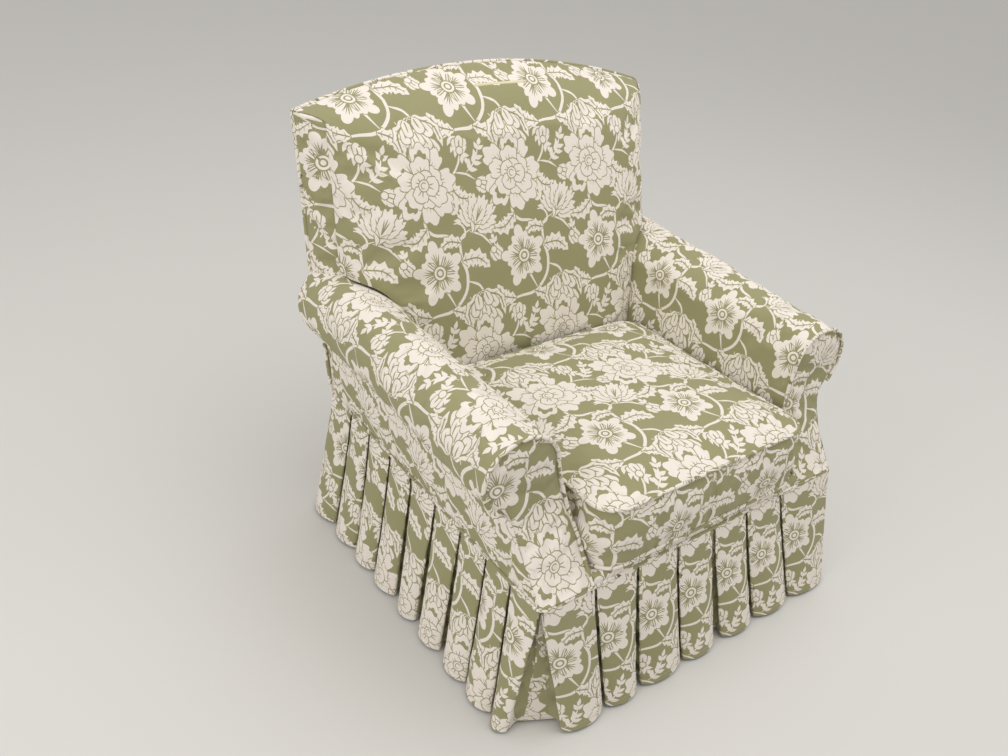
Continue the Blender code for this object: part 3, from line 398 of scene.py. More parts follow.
class Print:
    """The printed cloth, from which the panels are cut."""

    def __init__(self):
        self.shapes = [(thinned(shape, PRINT_DETAIL), tone) for shape, tone in repeat_unit()]
        self.centres = np.array([(shape.min(0) + shape.max(0)) / 2 for shape, tone in self.shapes])
        self.reaches = np.array([np.ptp(shape, axis=0).max() * 0.75 for shape, tone in self.shapes])
        self.drawn = self.draw()

    def draw(self):
        """Tones of one repeat on a fine grid, with its shapes drawn over each other in their order."""
        drawn = np.full((round(TILE_WIDTH / PRINT_GRAIN), round(TILE_HEIGHT / PRINT_GRAIN)), GROUND)
        copies = [(column * TILE_WIDTH + row * TILE_SHIFT, row * TILE_HEIGHT)
                  for row in (-1, 0, 1) for column in (-2, -1, 0, 1, 2)]
        for shape, tone in self.shapes:
            for copy in copies:
                moved = (shape + copy) / PRINT_GRAIN
                low = np.maximum(np.floor(moved.min(0)).astype(int), 0)
                high = np.minimum(np.ceil(moved.max(0)).astype(int), drawn.shape)
                if np.all(low < high):
                    x, y = np.meshgrid(*(np.arange(a, b) for a, b in zip(low, high)), indexing="ij")
                    spots = np.column_stack([x.ravel(), y.ravel()]) + 0.5
                    held = inside(spots, moved).reshape(x.shape)
                    drawn[low[0]:high[0], low[1]:high[1]][held] = tone
        return drawn

    def tone_at(self, points, at, turn):
        """The print's tone at points of a panel."""
        c, s = math.cos(turn), math.sin(turn)
        flat = (points - at) @ np.array([[c, -s], [s, c]])
        row = np.floor(flat[:, 1] / TILE_HEIGHT)
        x = np.mod(flat[:, 0] - row * TILE_SHIFT, TILE_WIDTH) / TILE_WIDTH * self.drawn.shape[0]
        y = (flat[:, 1] / TILE_HEIGHT - row) * self.drawn.shape[1]
        return self.drawn[x.astype(int) % self.drawn.shape[0], y.astype(int) % self.drawn.shape[1]]

    def shapes_over(self, low, high, at, turn):
        """Outlines of the print that reach a rectangle, with a tile's corner at a place."""
        c, s = math.cos(turn), math.sin(turn)
        spin = np.array([[c, s], [-s, c]])
        corners = np.array([(x, y) for x in (low[0], high[0]) for y in (low[1], high[1])])
        flat = (corners - at) @ spin.T
        rows = range(math.floor(flat[:, 1].min() / TILE_HEIGHT) - 1,
                     math.ceil(flat[:, 1].max() / TILE_HEIGHT) + 1)
        copies = []
        for row in rows:
            first = math.floor((flat[:, 0].min() - row * TILE_SHIFT) / TILE_WIDTH) - 1
            last = math.ceil((flat[:, 0].max() - row * TILE_SHIFT) / TILE_WIDTH) + 1
            copies += [(column * TILE_WIDTH + row * TILE_SHIFT, row * TILE_HEIGHT)
                       for column in range(first, last)]
        copies = np.array(copies)
        found = []
        for (shape, _), centre, reach in zip(self.shapes, self.centres, self.reaches):
            middles = (copies + centre) @ spin + at
            near = np.all((middles > low - reach) & (middles < high + reach), axis=1)
            found += [(shape + copy) @ spin + at for copy in copies[near]]
        return found


def inside(points, shape):
    """Which of the points lie inside a polygon."""
    x, y = points[:, 0:1], points[:, 1:2]
    ax, ay = shape[:, 0], shape[:, 1]
    bx, by = np.roll(ax, -1), np.roll(ay, -1)
    crosses = (ay > y) != (by > y)
    rise = np.where(by == ay, 1.0, by - ay)
    left = x < (bx - ax) * (y - ay) / rise + ax
    return np.count_nonzero(crosses & left, axis=1) % 2 == 1


def inside_outline(points, outline):
    """Which points lie inside a long outline, tested in strips so that few of its edges are met."""
    found = np.zeros(len(points), bool)
    order = np.argsort(points[:, 1], kind="stable")
    following = np.roll(outline, -1, axis=0)
    low, high = np.minimum(outline, following)[:, 1], np.maximum(outline, following)[:, 1]
    for first in range(0, len(order), 400):
        strip = order[first:first + 400]
        bottom, top = points[strip[0], 1], points[strip[-1], 1]
        met = (high >= bottom) & (low <= top)
        a, b = outline[met], following[met]
        x, y = points[strip, 0:1], points[strip, 1:2]
        crosses = (a[:, 1] > y) != (b[:, 1] > y)
        rise = np.where(b[:, 1] == a[:, 1], 1.0, b[:, 1] - a[:, 1])
        left = x < (b[:, 0] - a[:, 0]) * (y - a[:, 1]) / rise + a[:, 0]
        found[strip] = np.count_nonzero(crosses & left, axis=1) % 2 == 1
    return found


def dense_line(points, step, closed=False):
    """The same line with points no further apart than a step."""
    ends = np.vstack([points, points[:1]]) if closed else np.asarray(points)
    line = []
    for a, b in zip(ends, ends[1:]):
        count = max(1, math.ceil(np.linalg.norm(b - a) / step))
        line += [a + (b - a) * i / count for i in range(count)]
    return np.array(line if closed else line + [ends[-1]])


def inner_grid(outline, step):
    """Points of a staggered grid inside an outline and a little clear of it."""
    low, high = outline.min(0), outline.max(0)
    xs = np.arange(low[0] + step[0] / 2, high[0], step[0])
    ys = np.arange(low[1] + step[1] / 2, high[1], step[1])
    points = np.array([(x + (step[0] / 2 if j % 2 else 0.0), y) for j, y in enumerate(ys) for x in xs])
    if not len(points):
        return np.empty((0, 2))
    return points[inside_outline(points, outline)]


def triangulate(points, edges):
    """Triangles over the points, held to the edges: the points, the triangles and where each input went."""
    made = geometry.delaunay_2d_cdt([Vector(p) for p in points], edges, [], 0, 1e-6, True)
    places = np.array([tuple(p) for p in made[0]])
    moved = {}
    for new, olds in enumerate(made[3]):
        for old in olds:
            moved[old] = new
    return places, np.array([f for f in made[2] if len(f) == 3]), moved


def loop_edges(start, count):
    return [(start + i, start + (i + 1) % count) for i in range(count)]


def rim_of(triangles):
    """The open edges of a flat piece as closed rings of point numbers, counterclockwise."""
    edges = np.vstack([triangles[:, [0, 1]], triangles[:, [1, 2]], triangles[:, [2, 0]]])
    count = int(edges.max()) + 1
    keys = edges[:, 0].astype(np.int64) * count + edges[:, 1]
    back = edges[:, 1].astype(np.int64) * count + edges[:, 0]
    rim = edges[~np.isin(keys, back)]
    follow = {int(a): int(b) for a, b in rim}
    rings = []
    while follow:
        start, at = follow.popitem()
        ring = [start]
        while at != start:
            ring.append(at)
            at = follow.pop(at)
        rings.append(ring)
    return rings


class Cloth:
    """Gathers printed panels, each a thin closed shell, and makes one object of them."""

    def __init__(self, cloth_print):
        self.print = cloth_print
        self.points, self.normals, self.uvs, self.tones, self.triangles = [], [], [], [], []
        self.count = 0
        self.area = 0.0

    def add(self, outline, surface, at=(0.0, 0.0), turn=0.0, step=(0.008, 0.008), lines=(), shell=SHELL):
        """Cuts a panel along an outline in the cloth's coordinates and lays it on a surface."""
        step = np.array(step)
        outline = dense_line(np.asarray(outline, float), step.min(), closed=True)
        points, tones, triangles = self.cut_print(outline, np.array(at), turn, step, lines)
        rings = rim_of(triangles)
        places, normals = surface(points)
        first = self.put(places, normals, points, tones, triangles)
        for ring in rings:
            self.add_lining(surface, points, places, normals, ring, first, step, shell)

    def cut_print(self, outline, at, turn, step, lines):
        """Triangles of a panel, with the print's outlines among their edges, and each one's tone."""
        low, high = outline.min(0), outline.max(0)
        points = [outline, inner_grid(outline, step)]
        edges = loop_edges(0, len(outline))
        count = len(outline) + len(points[1])
        for line in lines:
            line = dense_line(np.asarray(line, float), step.min())
            edges += [(count + i, count + i + 1) for i in range(len(line) - 1)]
            points.append(line)
            count += len(line)
        for shape in self.print.shapes_over(low, high, at, turn):
            ahead = np.roll(shape, -1, axis=0)
            near = np.all(np.maximum(shape, ahead) > low, axis=1)
            near &= np.all(np.minimum(shape, ahead) < high, axis=1)
            edges += [(count + i, count + (i + 1) % len(shape)) for i in np.flatnonzero(near)]
            points.append(shape)
            count += len(shape)
        flat, triangles, _ = triangulate(np.vstack(points), edges)
        a, b, c = (flat[triangles[:, i]] for i in range(3))
        area = ((b[:, 0] - a[:, 0]) * (c[:, 1] - a[:, 1]) - (b[:, 1] - a[:, 1]) * (c[:, 0] - a[:, 0])) / 2
        centres = (a + b + c) / 3
        triangles = np.where(area[:, None] < 0.0, triangles[:, ::-1], triangles)
        keep = inside_outline(centres, outline)
        self.area += float(np.abs(area[keep]).sum())
        tones = self.print.tone_at(centres[keep], at, turn)
        used, triangles = np.unique(triangles[keep], return_inverse=True)
        return flat[used], tones, triangles.reshape(-1, 3)

    def add_lining(self, surface, points, places, normals, ring, first, step, shell):
        """Closes a panel behind with a plainer surface inside its rim."""
        rim = points[ring]
        inner = inner_grid(rim, step * LINING_STEP)
        flat, triangles, moved = triangulate(np.vstack([rim, inner]), loop_edges(0, len(rim)))
        centres = flat[triangles].mean(axis=1)
        triangles = triangles[inside_outline(centres, rim)]
        back_places, back_normals = surface(flat)
        rim_places = places[ring] - normals[ring] * shell
        rim_numbers = [moved[i] for i in range(len(rim))]
        back_places = back_places - back_normals * shell
        back_places[rim_numbers] = rim_places
        back = self.put(back_places, -back_normals, flat, np.zeros(len(triangles)), triangles[:, ::-1])
        walls = []
        size = len(ring)
        for i in range(size):
            j = (i + 1) % size
            a, b = first + ring[i], first + ring[j]
            c, d = back + rim_numbers[j], back + rim_numbers[i]
            walls += [(a, d, c), (a, c, b)]
        self.triangles.append(np.array(walls))
        self.tones.append(np.zeros(len(walls)))

    def put(self, places, normals, uvs, tones, triangles):
        first = self.count
        self.points.append(places)
        self.normals.append(normals)
        self.uvs.append(uvs)
        self.tones.append(tones)
        self.triangles.append(triangles + first)
        self.count += len(places)
        return first

    def make(self, name, material):
        points = np.vstack(self.points)
        points[:, 1] += ORIGIN_Y
        triangles = np.vstack(self.triangles)
        mesh = bpy.data.meshes.new(name)
        mesh.vertices.add(len(points))
        mesh.vertices.foreach_set("co", points.astype(np.float32).ravel())
        mesh.loops.add(len(triangles) * 3)
        mesh.loops.foreach_set("vertex_index", triangles.ravel().astype(np.int32))
        mesh.polygons.add(len(triangles))
        mesh.polygons.foreach_set("loop_start", np.arange(0, len(triangles) * 3, 3, dtype=np.int32))
        tone = mesh.attributes.new("print_tone", "FLOAT", "FACE")
        tone.data.foreach_set("value", np.concatenate(self.tones).astype(np.float32))
        layer = mesh.uv_layers.new(name="cloth")
        layer.data.foreach_set("uv", np.vstack(self.uvs)[triangles.ravel()].astype(np.float32).ravel())
        mesh.polygons.foreach_set("use_smooth", np.ones(len(triangles), bool))
        mesh.update(calc_edges=True)
        mesh.normals_split_custom_set_from_vertices(np.vstack(self.normals).astype(np.float32))
        mesh.materials.append(material)
        made = bpy.data.objects.new(name, mesh)
        bpy.context.scene.collection.objects.link(made)
        return made


# Surfaces that the cloth lies on

def spline(points, i, j):
    """A grid of points read between its rows and columns, on smooth curves through them."""
    padded = np.concatenate([2 * points[:1] - points[1:2], points, 2 * points[-1:] - points[-2:-1]])
    padded = np.concatenate([2 * padded[:, :1] - padded[:, 1:2], padded,
                             2 * padded[:, -1:] - padded[:, -2:-1]], axis=1)
    total = 0.0
    weights = []
    for at, count in ((i, points.shape[0]), (j, points.shape[1])):
        low = np.clip(np.floor(at).astype(int), 0, count - 2)
        t = at - low
        weights.append((low, ((-t + 2 * t**2 - t**3) / 2, (2 - 5 * t**2 + 3 * t**3) / 2,
                              (t + 4 * t**2 - 3 * t**3) / 2, (t**3 - t**2) / 2)))
    (rows, row_weights), (columns, column_weights) = weights
    for a, row_weight in enumerate(row_weights):
        for b, column_weight in enumerate(column_weights):
            total = total + padded[rows + a, columns + b] * (row_weight * column_weight)[:, None]
    return total


class Surface:
    """A smooth surface through a grid of points, read in the cloth's own coordinates."""

    def __init__(self, us, vs, points):
        self.us, self.vs, self.points = np.asarray(us), np.asarray(vs), points

    @classmethod
    def placed(cls, us, vs, place):
        """A surface whose points a function gives."""
        u, v = np.meshgrid(us, vs, indexing="ij")
        return cls(us, vs, place(u.ravel(), v.ravel()).reshape(len(us), len(vs), 3))

    @classmethod
    def over(cls, outline, step, place):
        """A surface that reaches a little past an outline."""
        low, high = np.min(outline, axis=0), np.max(outline, axis=0)
        us = np.linspace(low[0], high[0], max(4, math.ceil((high[0] - low[0]) / step[0])))
        vs = np.linspace(low[1], high[1], max(4, math.ceil((high[1] - low[1]) / step[1])))
        return cls.placed(us, vs, place)

    def at(self, u, v):
        i = np.interp(u, self.us, np.arange(len(self.us)))
        j = np.interp(v, self.vs, np.arange(len(self.vs)))
        return spline(self.points, i, j)

    def __call__(self, points):
        u, v = points[:, 0], points[:, 1]
        reach = 2e-4
        along = self.at(u + reach, v) - self.at(u - reach, v)
        up = self.at(u, v + reach) - self.at(u, v - reach)
        return self.at(u, v), unit(np.cross(along, up))

    def normals(self):
        along = np.gradient(self.points, axis=0)
        up = np.gradient(self.points, axis=1)
        return unit(np.cross(along, up))

    def ripple(self, height, size, seed, mask=1.0):
        """Raises soft creases in the surface."""
        u, v = np.meshgrid(self.us, self.vs, indexing="ij")
        waves = ripples(u, v, size, seed) * height * mask
        self.points = self.points + self.normals() * waves[:, :, None]
        return self


def unit(vectors):
    return vectors / np.maximum(np.linalg.norm(vectors, axis=-1, keepdims=True), 1e-12)


def ripples(u, v, size, seed):
    """A sum of waves in several directions, from -1 to 1."""
    chance = random.Random(seed)
    total = np.zeros_like(u)
    for _ in range(6):
        angle = chance.uniform(0.0, math.pi)
        length = size * chance.uniform(0.6, 1.7)
        along = u * math.cos(angle) + v * math.sin(angle)
        total += np.sin(along * 2 * math.pi / length + chance.uniform(0, 6.28))
    return total / 6


class Mirrored:
    """The same surface on the sitter's right, with its cloth the right way round."""

    def __init__(self, surface):
        self.surface = surface

    def __call__(self, points):
        flip = np.array((-1.0, 1.0))
        places, normals = self.surface(points * flip)
        across = np.array((-1.0, 1.0, 1.0))
        return places * across, normals * across


def grid_quads(number):
    """The quads between the numbered points of a grid."""
    return np.stack([number[:-1, :-1], number[1:, :-1], number[1:, 1:],
                     number[:-1, 1:]], axis=-1).reshape(-1, 4)


SETTLE_FRAMES = 20
SETTLE_STEP = 0.0095


def settle(surface, outline, pressure=1.2, slack=0.02, cap=0.008, mask=None):
    """Lets a panel swell and crease over its padding: a cloth pinned along its seams, pressed from below."""
    low, high = np.min(outline, axis=0), np.max(outline, axis=0)
    us = np.linspace(low[0], high[0], math.ceil((high[0] - low[0]) / SETTLE_STEP) + 1)
    vs = np.linspace(low[1], high[1], math.ceil((high[1] - low[1]) / SETTLE_STEP) + 1)
    u, v = np.meshgrid(us, vs, indexing="ij")
    flat = np.column_stack([u.ravel(), v.ravel()])
    held = inside_outline(flat, dense_line(np.asarray(outline, float), 0.01, closed=True))
    number = np.arange(len(flat)).reshape(u.shape)
    quads = grid_quads(number)
    quads = quads[held[quads].all(axis=1)]
    used, faces = np.unique(quads, return_inverse=True)
    start = surface.at(flat[used, 0], flat[used, 1])
    shift = swell(start, faces.reshape(-1, 4), pressure, slack)
    size = np.linalg.norm(shift, axis=1, keepdims=True)
    shift *= np.minimum(1.0, cap / np.maximum(size, 1e-9))
    shifts = np.zeros((len(flat), 3))
    shifts[used] = shift
    moved = Surface(us, vs, shifts.reshape(*u.shape, 3))
    u, v = np.meshgrid(surface.us, surface.vs, indexing="ij")
    added = moved.at(u.ravel(), v.ravel()).reshape(surface.points.shape)
    share = 1.0 if mask is None else mask(surface.points)[:, :, None]
    surface.points = surface.points + added * share
    return surface


def swell(points, faces, pressure, slack):
    """How far Blender's cloth moves a panel's points, with its open edges held."""
    mesh = bpy.data.meshes.new("panel")
    mesh.from_pydata(points.tolist(), [], faces.tolist())
    panel = bpy.data.objects.new("panel", mesh)
    bpy.context.scene.collection.objects.link(panel)
    edges = np.vstack([faces[:, [i, (i + 1) % 4]] for i in range(4)])
    keys, counts = np.unique(np.sort(edges, axis=1), axis=0, return_counts=True)
    pins = panel.vertex_groups.new(name="seam")
    pins.add(np.unique(keys[counts == 1]).tolist(), 1.0, "REPLACE")
    cloth = panel.modifiers.new("cloth", "CLOTH")
    cloth.settings.quality = 6
    cloth.settings.mass = 0.3
    cloth.settings.tension_stiffness = 22.0
    cloth.settings.compression_stiffness = 12.0
    cloth.settings.bending_stiffness = 0.35
    cloth.settings.shrink_min = -slack
    cloth.settings.use_pressure = True
    cloth.settings.uniform_pressure_force = pressure
    cloth.settings.effector_weights.gravity = 0.0
    cloth.settings.vertex_group_mass = "seam"
    cloth.collision_settings.use_collision = False
    cloth.collision_settings.use_self_collision = False
    cloth.point_cache.frame_start = 1
    cloth.point_cache.frame_end = SETTLE_FRAMES
    for number in range(1, SETTLE_FRAMES + 1):
        bpy.context.scene.frame_set(number)
    made = panel.evaluated_get(bpy.context.evaluated_depsgraph_get())
    ended = np.array([tuple(vertex.co) for vertex in made.data.vertices])
    bpy.data.objects.remove(panel)
    bpy.data.meshes.remove(mesh)
    bpy.context.scene.frame_set(1)
    return ended - points


def mirrored_outline(outline):
    return np.asarray(outline) * (-1.0, 1.0)


def along_line(points):
    """Distance from the start at each point of a line."""
    return np.concatenate([[0.0], np.cumsum(np.linalg.norm(np.diff(points, axis=0), axis=1))])


def resample(points, step, closed=False):
    """A smooth line through the points, with even steps."""
    points = np.asarray(points, float)
    if closed:
        points = np.vstack([points, points[:1]])
    total = along_line(points)
    count = max(8, math.ceil(total[-1] / step))
    at = np.linspace(0.0, total[-1], count + 1)
    return np.column_stack([np.interp(at, total, points[:, k]) for k in range(3)])


class CordSurface:
    """The round surface of a seam cord along a line: the cloth's u runs along it and v round it."""

    def __init__(self, points, radius, inward, closed=False):
        self.line = resample(points, 0.003, closed)
        self.radius = radius
        for _ in range(2):
            middle = (self.line[:-2] + 2 * self.line[1:-1] + self.line[2:]) / 4
            self.line[1:-1] = middle
            if closed:
                self.line[0] = self.line[-1] = (self.line[1] + 2 * self.line[0] + self.line[-2]) / 4
        self.total = along_line(self.line)
        ahead = np.gradient(self.line, axis=0)
        if closed:
            ahead[0] = ahead[-1] = self.line[1] - self.line[-2]
        self.ahead = unit(ahead)
        away = -np.asarray(inward(self.line))
        self.out = unit(away - self.ahead * np.sum(away * self.ahead, axis=1, keepdims=True))
        self.side = np.cross(self.ahead, self.out)

    def outline(self):
        half = math.pi * self.radius * 0.999
        return [(0.0, -half), (self.total[-1], -half), (self.total[-1], half), (0.0, half)]

    def __call__(self, points):
        def read(values):
            return np.column_stack([np.interp(points[:, 0], self.total, values[:, k]) for k in range(3)])
        angle = -points[:, 1:2] / self.radius
        normals = unit(read(self.out) * np.cos(angle) + read(self.side) * np.sin(angle))
        return read(self.line) + normals * self.radius, normals


# The chair's own surfaces

def arm_front_y(z, behind=0.0):
    """Y of an arm's front at a height, or of a surface that lies this far behind it."""
    span = ROLL_Z - FOOT
    fall = 1.0 - np.clip((z - FOOT) / span, 0.0, 1.0)
    slope = ARM_SETBACK / span * ARM_SWEEP * fall ** (ARM_SWEEP - 1.0)
    return ARM_SETBACK * (1.0 - fall**ARM_SWEEP) + behind * np.hypot(1.0, slope)


def arm_inner_x(z):
    share = np.maximum((z - FOOT - ARM_KNEE) / (ROLL_Z - FOOT - ARM_KNEE), 0.0)
    return mix(ARM_INNER, ROLL_X - ROLL_RADIUS, share)


def neck_z():
    return ROLL_Z - ROLL_RADIUS * math.sin(NECK_ANGLE)


def arm_panel_x(z):
    """X of the outer side under the roll, with the soft hollow where it meets the roll."""
    neck_x = ROLL_X + ROLL_RADIUS * math.cos(NECK_ANGLE)
    flat = BODY_HALF_WIDTH + NECK_OUT * (z - FOOT) / (neck_z() - FOOT)
    near = np.exp((np.minimum(z, neck_z()) - neck_z()) / NECK_BLEND)
    return flat + (neck_x - BODY_HALF_WIDTH - NECK_OUT) * near


def roll_section():
    """X and z of an arm's inner side and roll, as far as the seam under the roll."""
    z = np.linspace(FOOT, ROLL_Z, 50)[:-1]
    inner = np.column_stack([arm_inner_x(z), z])
    angle = np.linspace(math.pi, -NECK_ANGLE, 90)
    roll = np.column_stack([ROLL_X + ROLL_RADIUS * np.cos(angle), ROLL_Z + ROLL_RADIUS * np.sin(angle)])
    return np.vstack([inner, roll])


def rear_y(z, depth=0.0):
    height = np.maximum(z - SKIRT_TOP, 0.0) / (BACK_TOP - SKIRT_TOP)
    return BODY_DEPTH + BACK_LEAN * height**2 - depth


def rear_half_width(z):
    share = np.clip((z - SKIRT_TOP) / (ARM_TOP - SKIRT_TOP), 0.0, 1.0)
    return mix(BODY_HALF_WIDTH, BACK_HALF_WIDTH, share)


def back_top_z(x):
    return BACK_TOP - BACK_ARCH * (x / BACK_HALF_WIDTH) ** 2


def back_depth(z):
    share = np.clip((z - BACK_LOW) / (BACK_TOP - BACK_ROLL - BACK_LOW), 0.0, 1.0)
    return mix(BACK_DEPTH_LOW, BACK_DEPTH_HIGH, share)


def seat_point(x, along, height):
    """A point over the sloping seat deck, from its front edge and square to its surface."""
    y = along * math.cos(SEAT_TILT) + height * math.sin(SEAT_TILT)
    z = DECK_FRONT - along * math.sin(SEAT_TILT) + height * math.cos(SEAT_TILT)
    return np.column_stack(np.broadcast_arrays(x, y, z))


def cushion_point(x, along, height):
    return seat_point(x, CUSHION_FRONT + along, SEAM_SPACE + height)


def over_edge(distance, reach, power=2.4):
    """Rises from 0 at an edge to 1 at a distance inside it, square to the edge at first."""
    t = np.clip(distance / reach, 0.0, 1.0)
    return np.sqrt(np.maximum(1.0 - (1.0 - t) ** power, 0.0))


def distance_to(points, line):
    """Distance of each point from a line of points."""
    best = np.full(len(points), 1e9)
    for a, b in zip(line, line[1:]):
        ab = b - a
        share = np.clip(((points - a) @ ab) / max(ab @ ab, 1e-18), 0.0, 1.0)
        best = np.minimum(best, np.linalg.norm(points - (a + share[:, None] * ab), axis=1))
    return best


# Back

ROLL_STEPS = 60
TOP_ROUND = np.linspace(0.0, math.pi / 2, ROLL_STEPS)
TOP_LENGTHS = along_line(np.column_stack([BACK_ROLL * np.sin(TOP_ROUND),
                                          BACK_DEPTH_HIGH * np.cos(TOP_ROUND)]))
BACK_SIDE_REACH = 0.130
BACK_ARM_REACH = 0.028
BACK_ARM_DROP = 0.006
# The back panel fails to close where its edge stands 0.9 mm or less off the arm
FACE_ARM_GAP = 0.0015


def back_level(x):
    """Height at which the back's face starts to turn over its top edge."""
    return back_top_z(x) - BACK_ROLL


def back_row(x, v):
    """Height and turn of the back's face, v up the cloth."""
    level = back_level(x)
    turn = np.interp(np.maximum(v - level, 0.0), TOP_LENGTHS, TOP_ROUND)
    return np.minimum(v, level) + BACK_ROLL * np.sin(turn), turn


def back_edge(z, turn):
    return np.minimum(BACK_EDGE, back_depth(z) * np.cos(turn))


def back_half(z, turn):
    """Half width of the back's face, where its side seam lies."""
    slant = (back_edge(z, turn) - SEAM_SPACE) / (BACK_EDGE - SEAM_SPACE)
    return rear_half_width(np.maximum(z, ARM_TOP)) - BACK_EDGE_SLANT * slant


def back_face_point(x, v):
    z, turn = back_row(x, v)
    full = back_depth(z) * np.cos(turn)
    edge = np.minimum(back_edge(z, turn), full)
    half = back_half(z, turn)
    depth = edge + (full - edge) * over_edge(half - np.abs(x), BACK_SIDE_REACH)
    arm = distance_to(np.column_stack([np.abs(x), z]), roll_section()[::3])
    depth = depth - BACK_ARM_DROP * (1.0 - over_edge(arm, BACK_ARM_REACH))
    return np.column_stack([x, rear_y(z, depth), z])


def back_face_surface():
    """The back's face, with u measured along the cloth from the middle and v up it."""
    half = BACK_HALF_WIDTH
    across = half * np.sin(np.linspace(0.0, math.pi / 2, 120))
    top = back_level(0.0) + TOP_LENGTHS[-1]
    vs = np.linspace(FOOT, top, 110)
    us = np.linspace(0.0, half + 0.11, 90)
    rows = []
    for v in vs:
        line = back_face_point(across, np.full_like(across, v))
        edge = back_half(*back_row(across, np.full_like(across, v)))
        good = across <= edge
        line = line[good]
        total = along_line(line)
        row = np.column_stack([np.interp(us, total, line[:, k]) for k in range(3)])
        past = np.maximum(us - total[-1], 0.0)
        row[:, 1] += past * 0.9
        row[:, 0] += past * 0.3
        rows.append(row)
    right = np.stack(rows, axis=1)
    left = right[:0:-1] * (-1.0, 1.0, 1.0)
    made = Surface.__new__(Surface)
    made.us = np.concatenate([-us[:0:-1], us])
    made.vs = vs
    made.points = np.concatenate([left, right])
    return made, vs


def face_reach(x_limit, v):
    """Length of cloth from the middle of the back to an x at one height."""
    across = np.linspace(0.0, x_limit, 160)
    across = x_limit * np.sin(np.linspace(0.0, math.pi / 2, 160))
    return along_line(back_face_point(across, np.full_like(across, v)))[-1]


def side_seam_x(v):
    """X of the face's side seam at a height of the cloth, where the turn depends on x itself."""
    x = BACK_HALF_WIDTH
    for _ in range(12):
        z, turn = back_row(np.array([x]), np.array([v]))
        x = float(back_half(z, turn)[0])
    return x


def face_outline():
    """The face's outline on its right-hand half, from the middle of its foot to the middle of its top."""
    points = [(0.0, FOOT + 0.03)]
    section = roll_section()
    gap = FACE_ARM_GAP
    for x, z in section[::4]:
        inner = x <= ROLL_X and z <= ROLL_Z
        if inner and z > FOOT + 0.03:
            points.append((face_reach(x - gap, z), z))
    for angle in np.linspace(math.pi, math.radians(78.0), 16)[1:]:
        x = ROLL_X + (ROLL_RADIUS + gap) * math.cos(angle)
        z = ROLL_Z + (ROLL_RADIUS + gap) * math.sin(angle)
        x = min(x, side_seam_x(z))
        points.append((face_reach(x, z), z))
    top_corner = None
    for v in np.linspace(ARM_TOP + 0.004, back_level(side_seam_x(0.8)) + TOP_LENGTHS[-1], 110):
        x = side_seam_x(v)
        z, turn = back_row(np.array([x]), np.array([v]))
        if turn[0] >= math.pi / 2 - 1e-3:
            break
        points.append((face_reach(x, v), v))
        top_corner = x
    for x in np.linspace(top_corner, 0.0, 50):
        v = back_level(x) + TOP_LENGTHS[-1] - UNDER_CORD
        points.append((face_reach(x, v), v))
    return np.array(points)


def seam_point(v):
    x = side_seam_x(v)
    z, turn = back_row(np.array([x]), np.array([v]))
    return x, float(z[0]), float(turn[0])


def back_side_surface():
    """The strip that boxes the back's side: u runs from the face's seam to the rear, v up the seam."""
    low = ROLL_Z + ROLL_RADIUS * 0.70
    vs = np.linspace(low, back_level(side_seam_x(0.8)) + TOP_LENGTHS[-1] * 0.985, 90)
    fronts, rears = [], []
    for v in vs:
        x, z, turn = seam_point(v)
        edge = min(BACK_EDGE, float(back_depth(np.array([z]))[0]) * math.cos(turn))
        fronts.append((x, float(rear_y(np.array([z]))[0]) - edge, z))
        end_z = min(v, back_level(rear_half_width(z))) + BACK_ROLL * math.sin(turn)
        rears.append((float(rear_half_width(end_z)), float(rear_y(end_z)) - UNDER_CORD * 1.5, end_z))
    fronts, rears = np.array(fronts), np.array(rears)
    widths = np.linalg.norm(rears - fronts, axis=1)
    widest = widths.max()
    us = np.linspace(0.0, widest, 14)
    grid = np.zeros((len(us), len(vs), 3))
    for i, u in enumerate(us):
        share = np.clip(u / np.maximum(widths, 1e-6), 0.0, 1.0)[:, None]
        grid[i] = fronts + (rears - fronts) * share
        grid[i, :, 0] += 0.004 * np.sin(math.pi * share[:, 0]) * np.clip(widths / BACK_EDGE, 0, 1)
    made = Surface(us, vs, grid)
    outline = [(0.0, v) for v in vs[::3]] + [(w, v) for w, v in zip(widths[::-3], vs[::-3])]
    return made, np.array(outline)


def rear_surface(depth=0.0):
    """The rear of the back, with u from the sitter's left to right."""
    zs = np.linspace(FOOT - 0.02, BACK_TOP + 0.01, 120)
    total = along_line(np.column_stack([np.zeros_like(zs), rear_y(zs), zs]))
    def place(u, v):
        z = np.interp(v, total, zs)
        return np.column_stack([-u, rear_y(z, depth), z])
    return place, lambda z: np.interp(z, zs, total)


# Materials

class Value:
    """A number or colour in a shader, which Python's own operators work on."""

    def __init__(self, shader, socket):
        self.shader = shader
        self.socket = socket

    def maths(self, operation, *others):
        values = dict(enumerate((self,) + others))
        return self.shader.node("ShaderNodeMath", {"operation": operation}, values)

    def __add__(self, other):
        return self.maths("ADD", other)

    __radd__ = __add__

    def __sub__(self, other):
        return self.maths("SUBTRACT", other)

    def __rsub__(self, other):
        return self.shader.node("ShaderNodeMath", {"operation": "SUBTRACT"}, {0: other, 1: self})

    def __mul__(self, other):
        return self.maths("MULTIPLY", other)

    __rmul__ = __mul__


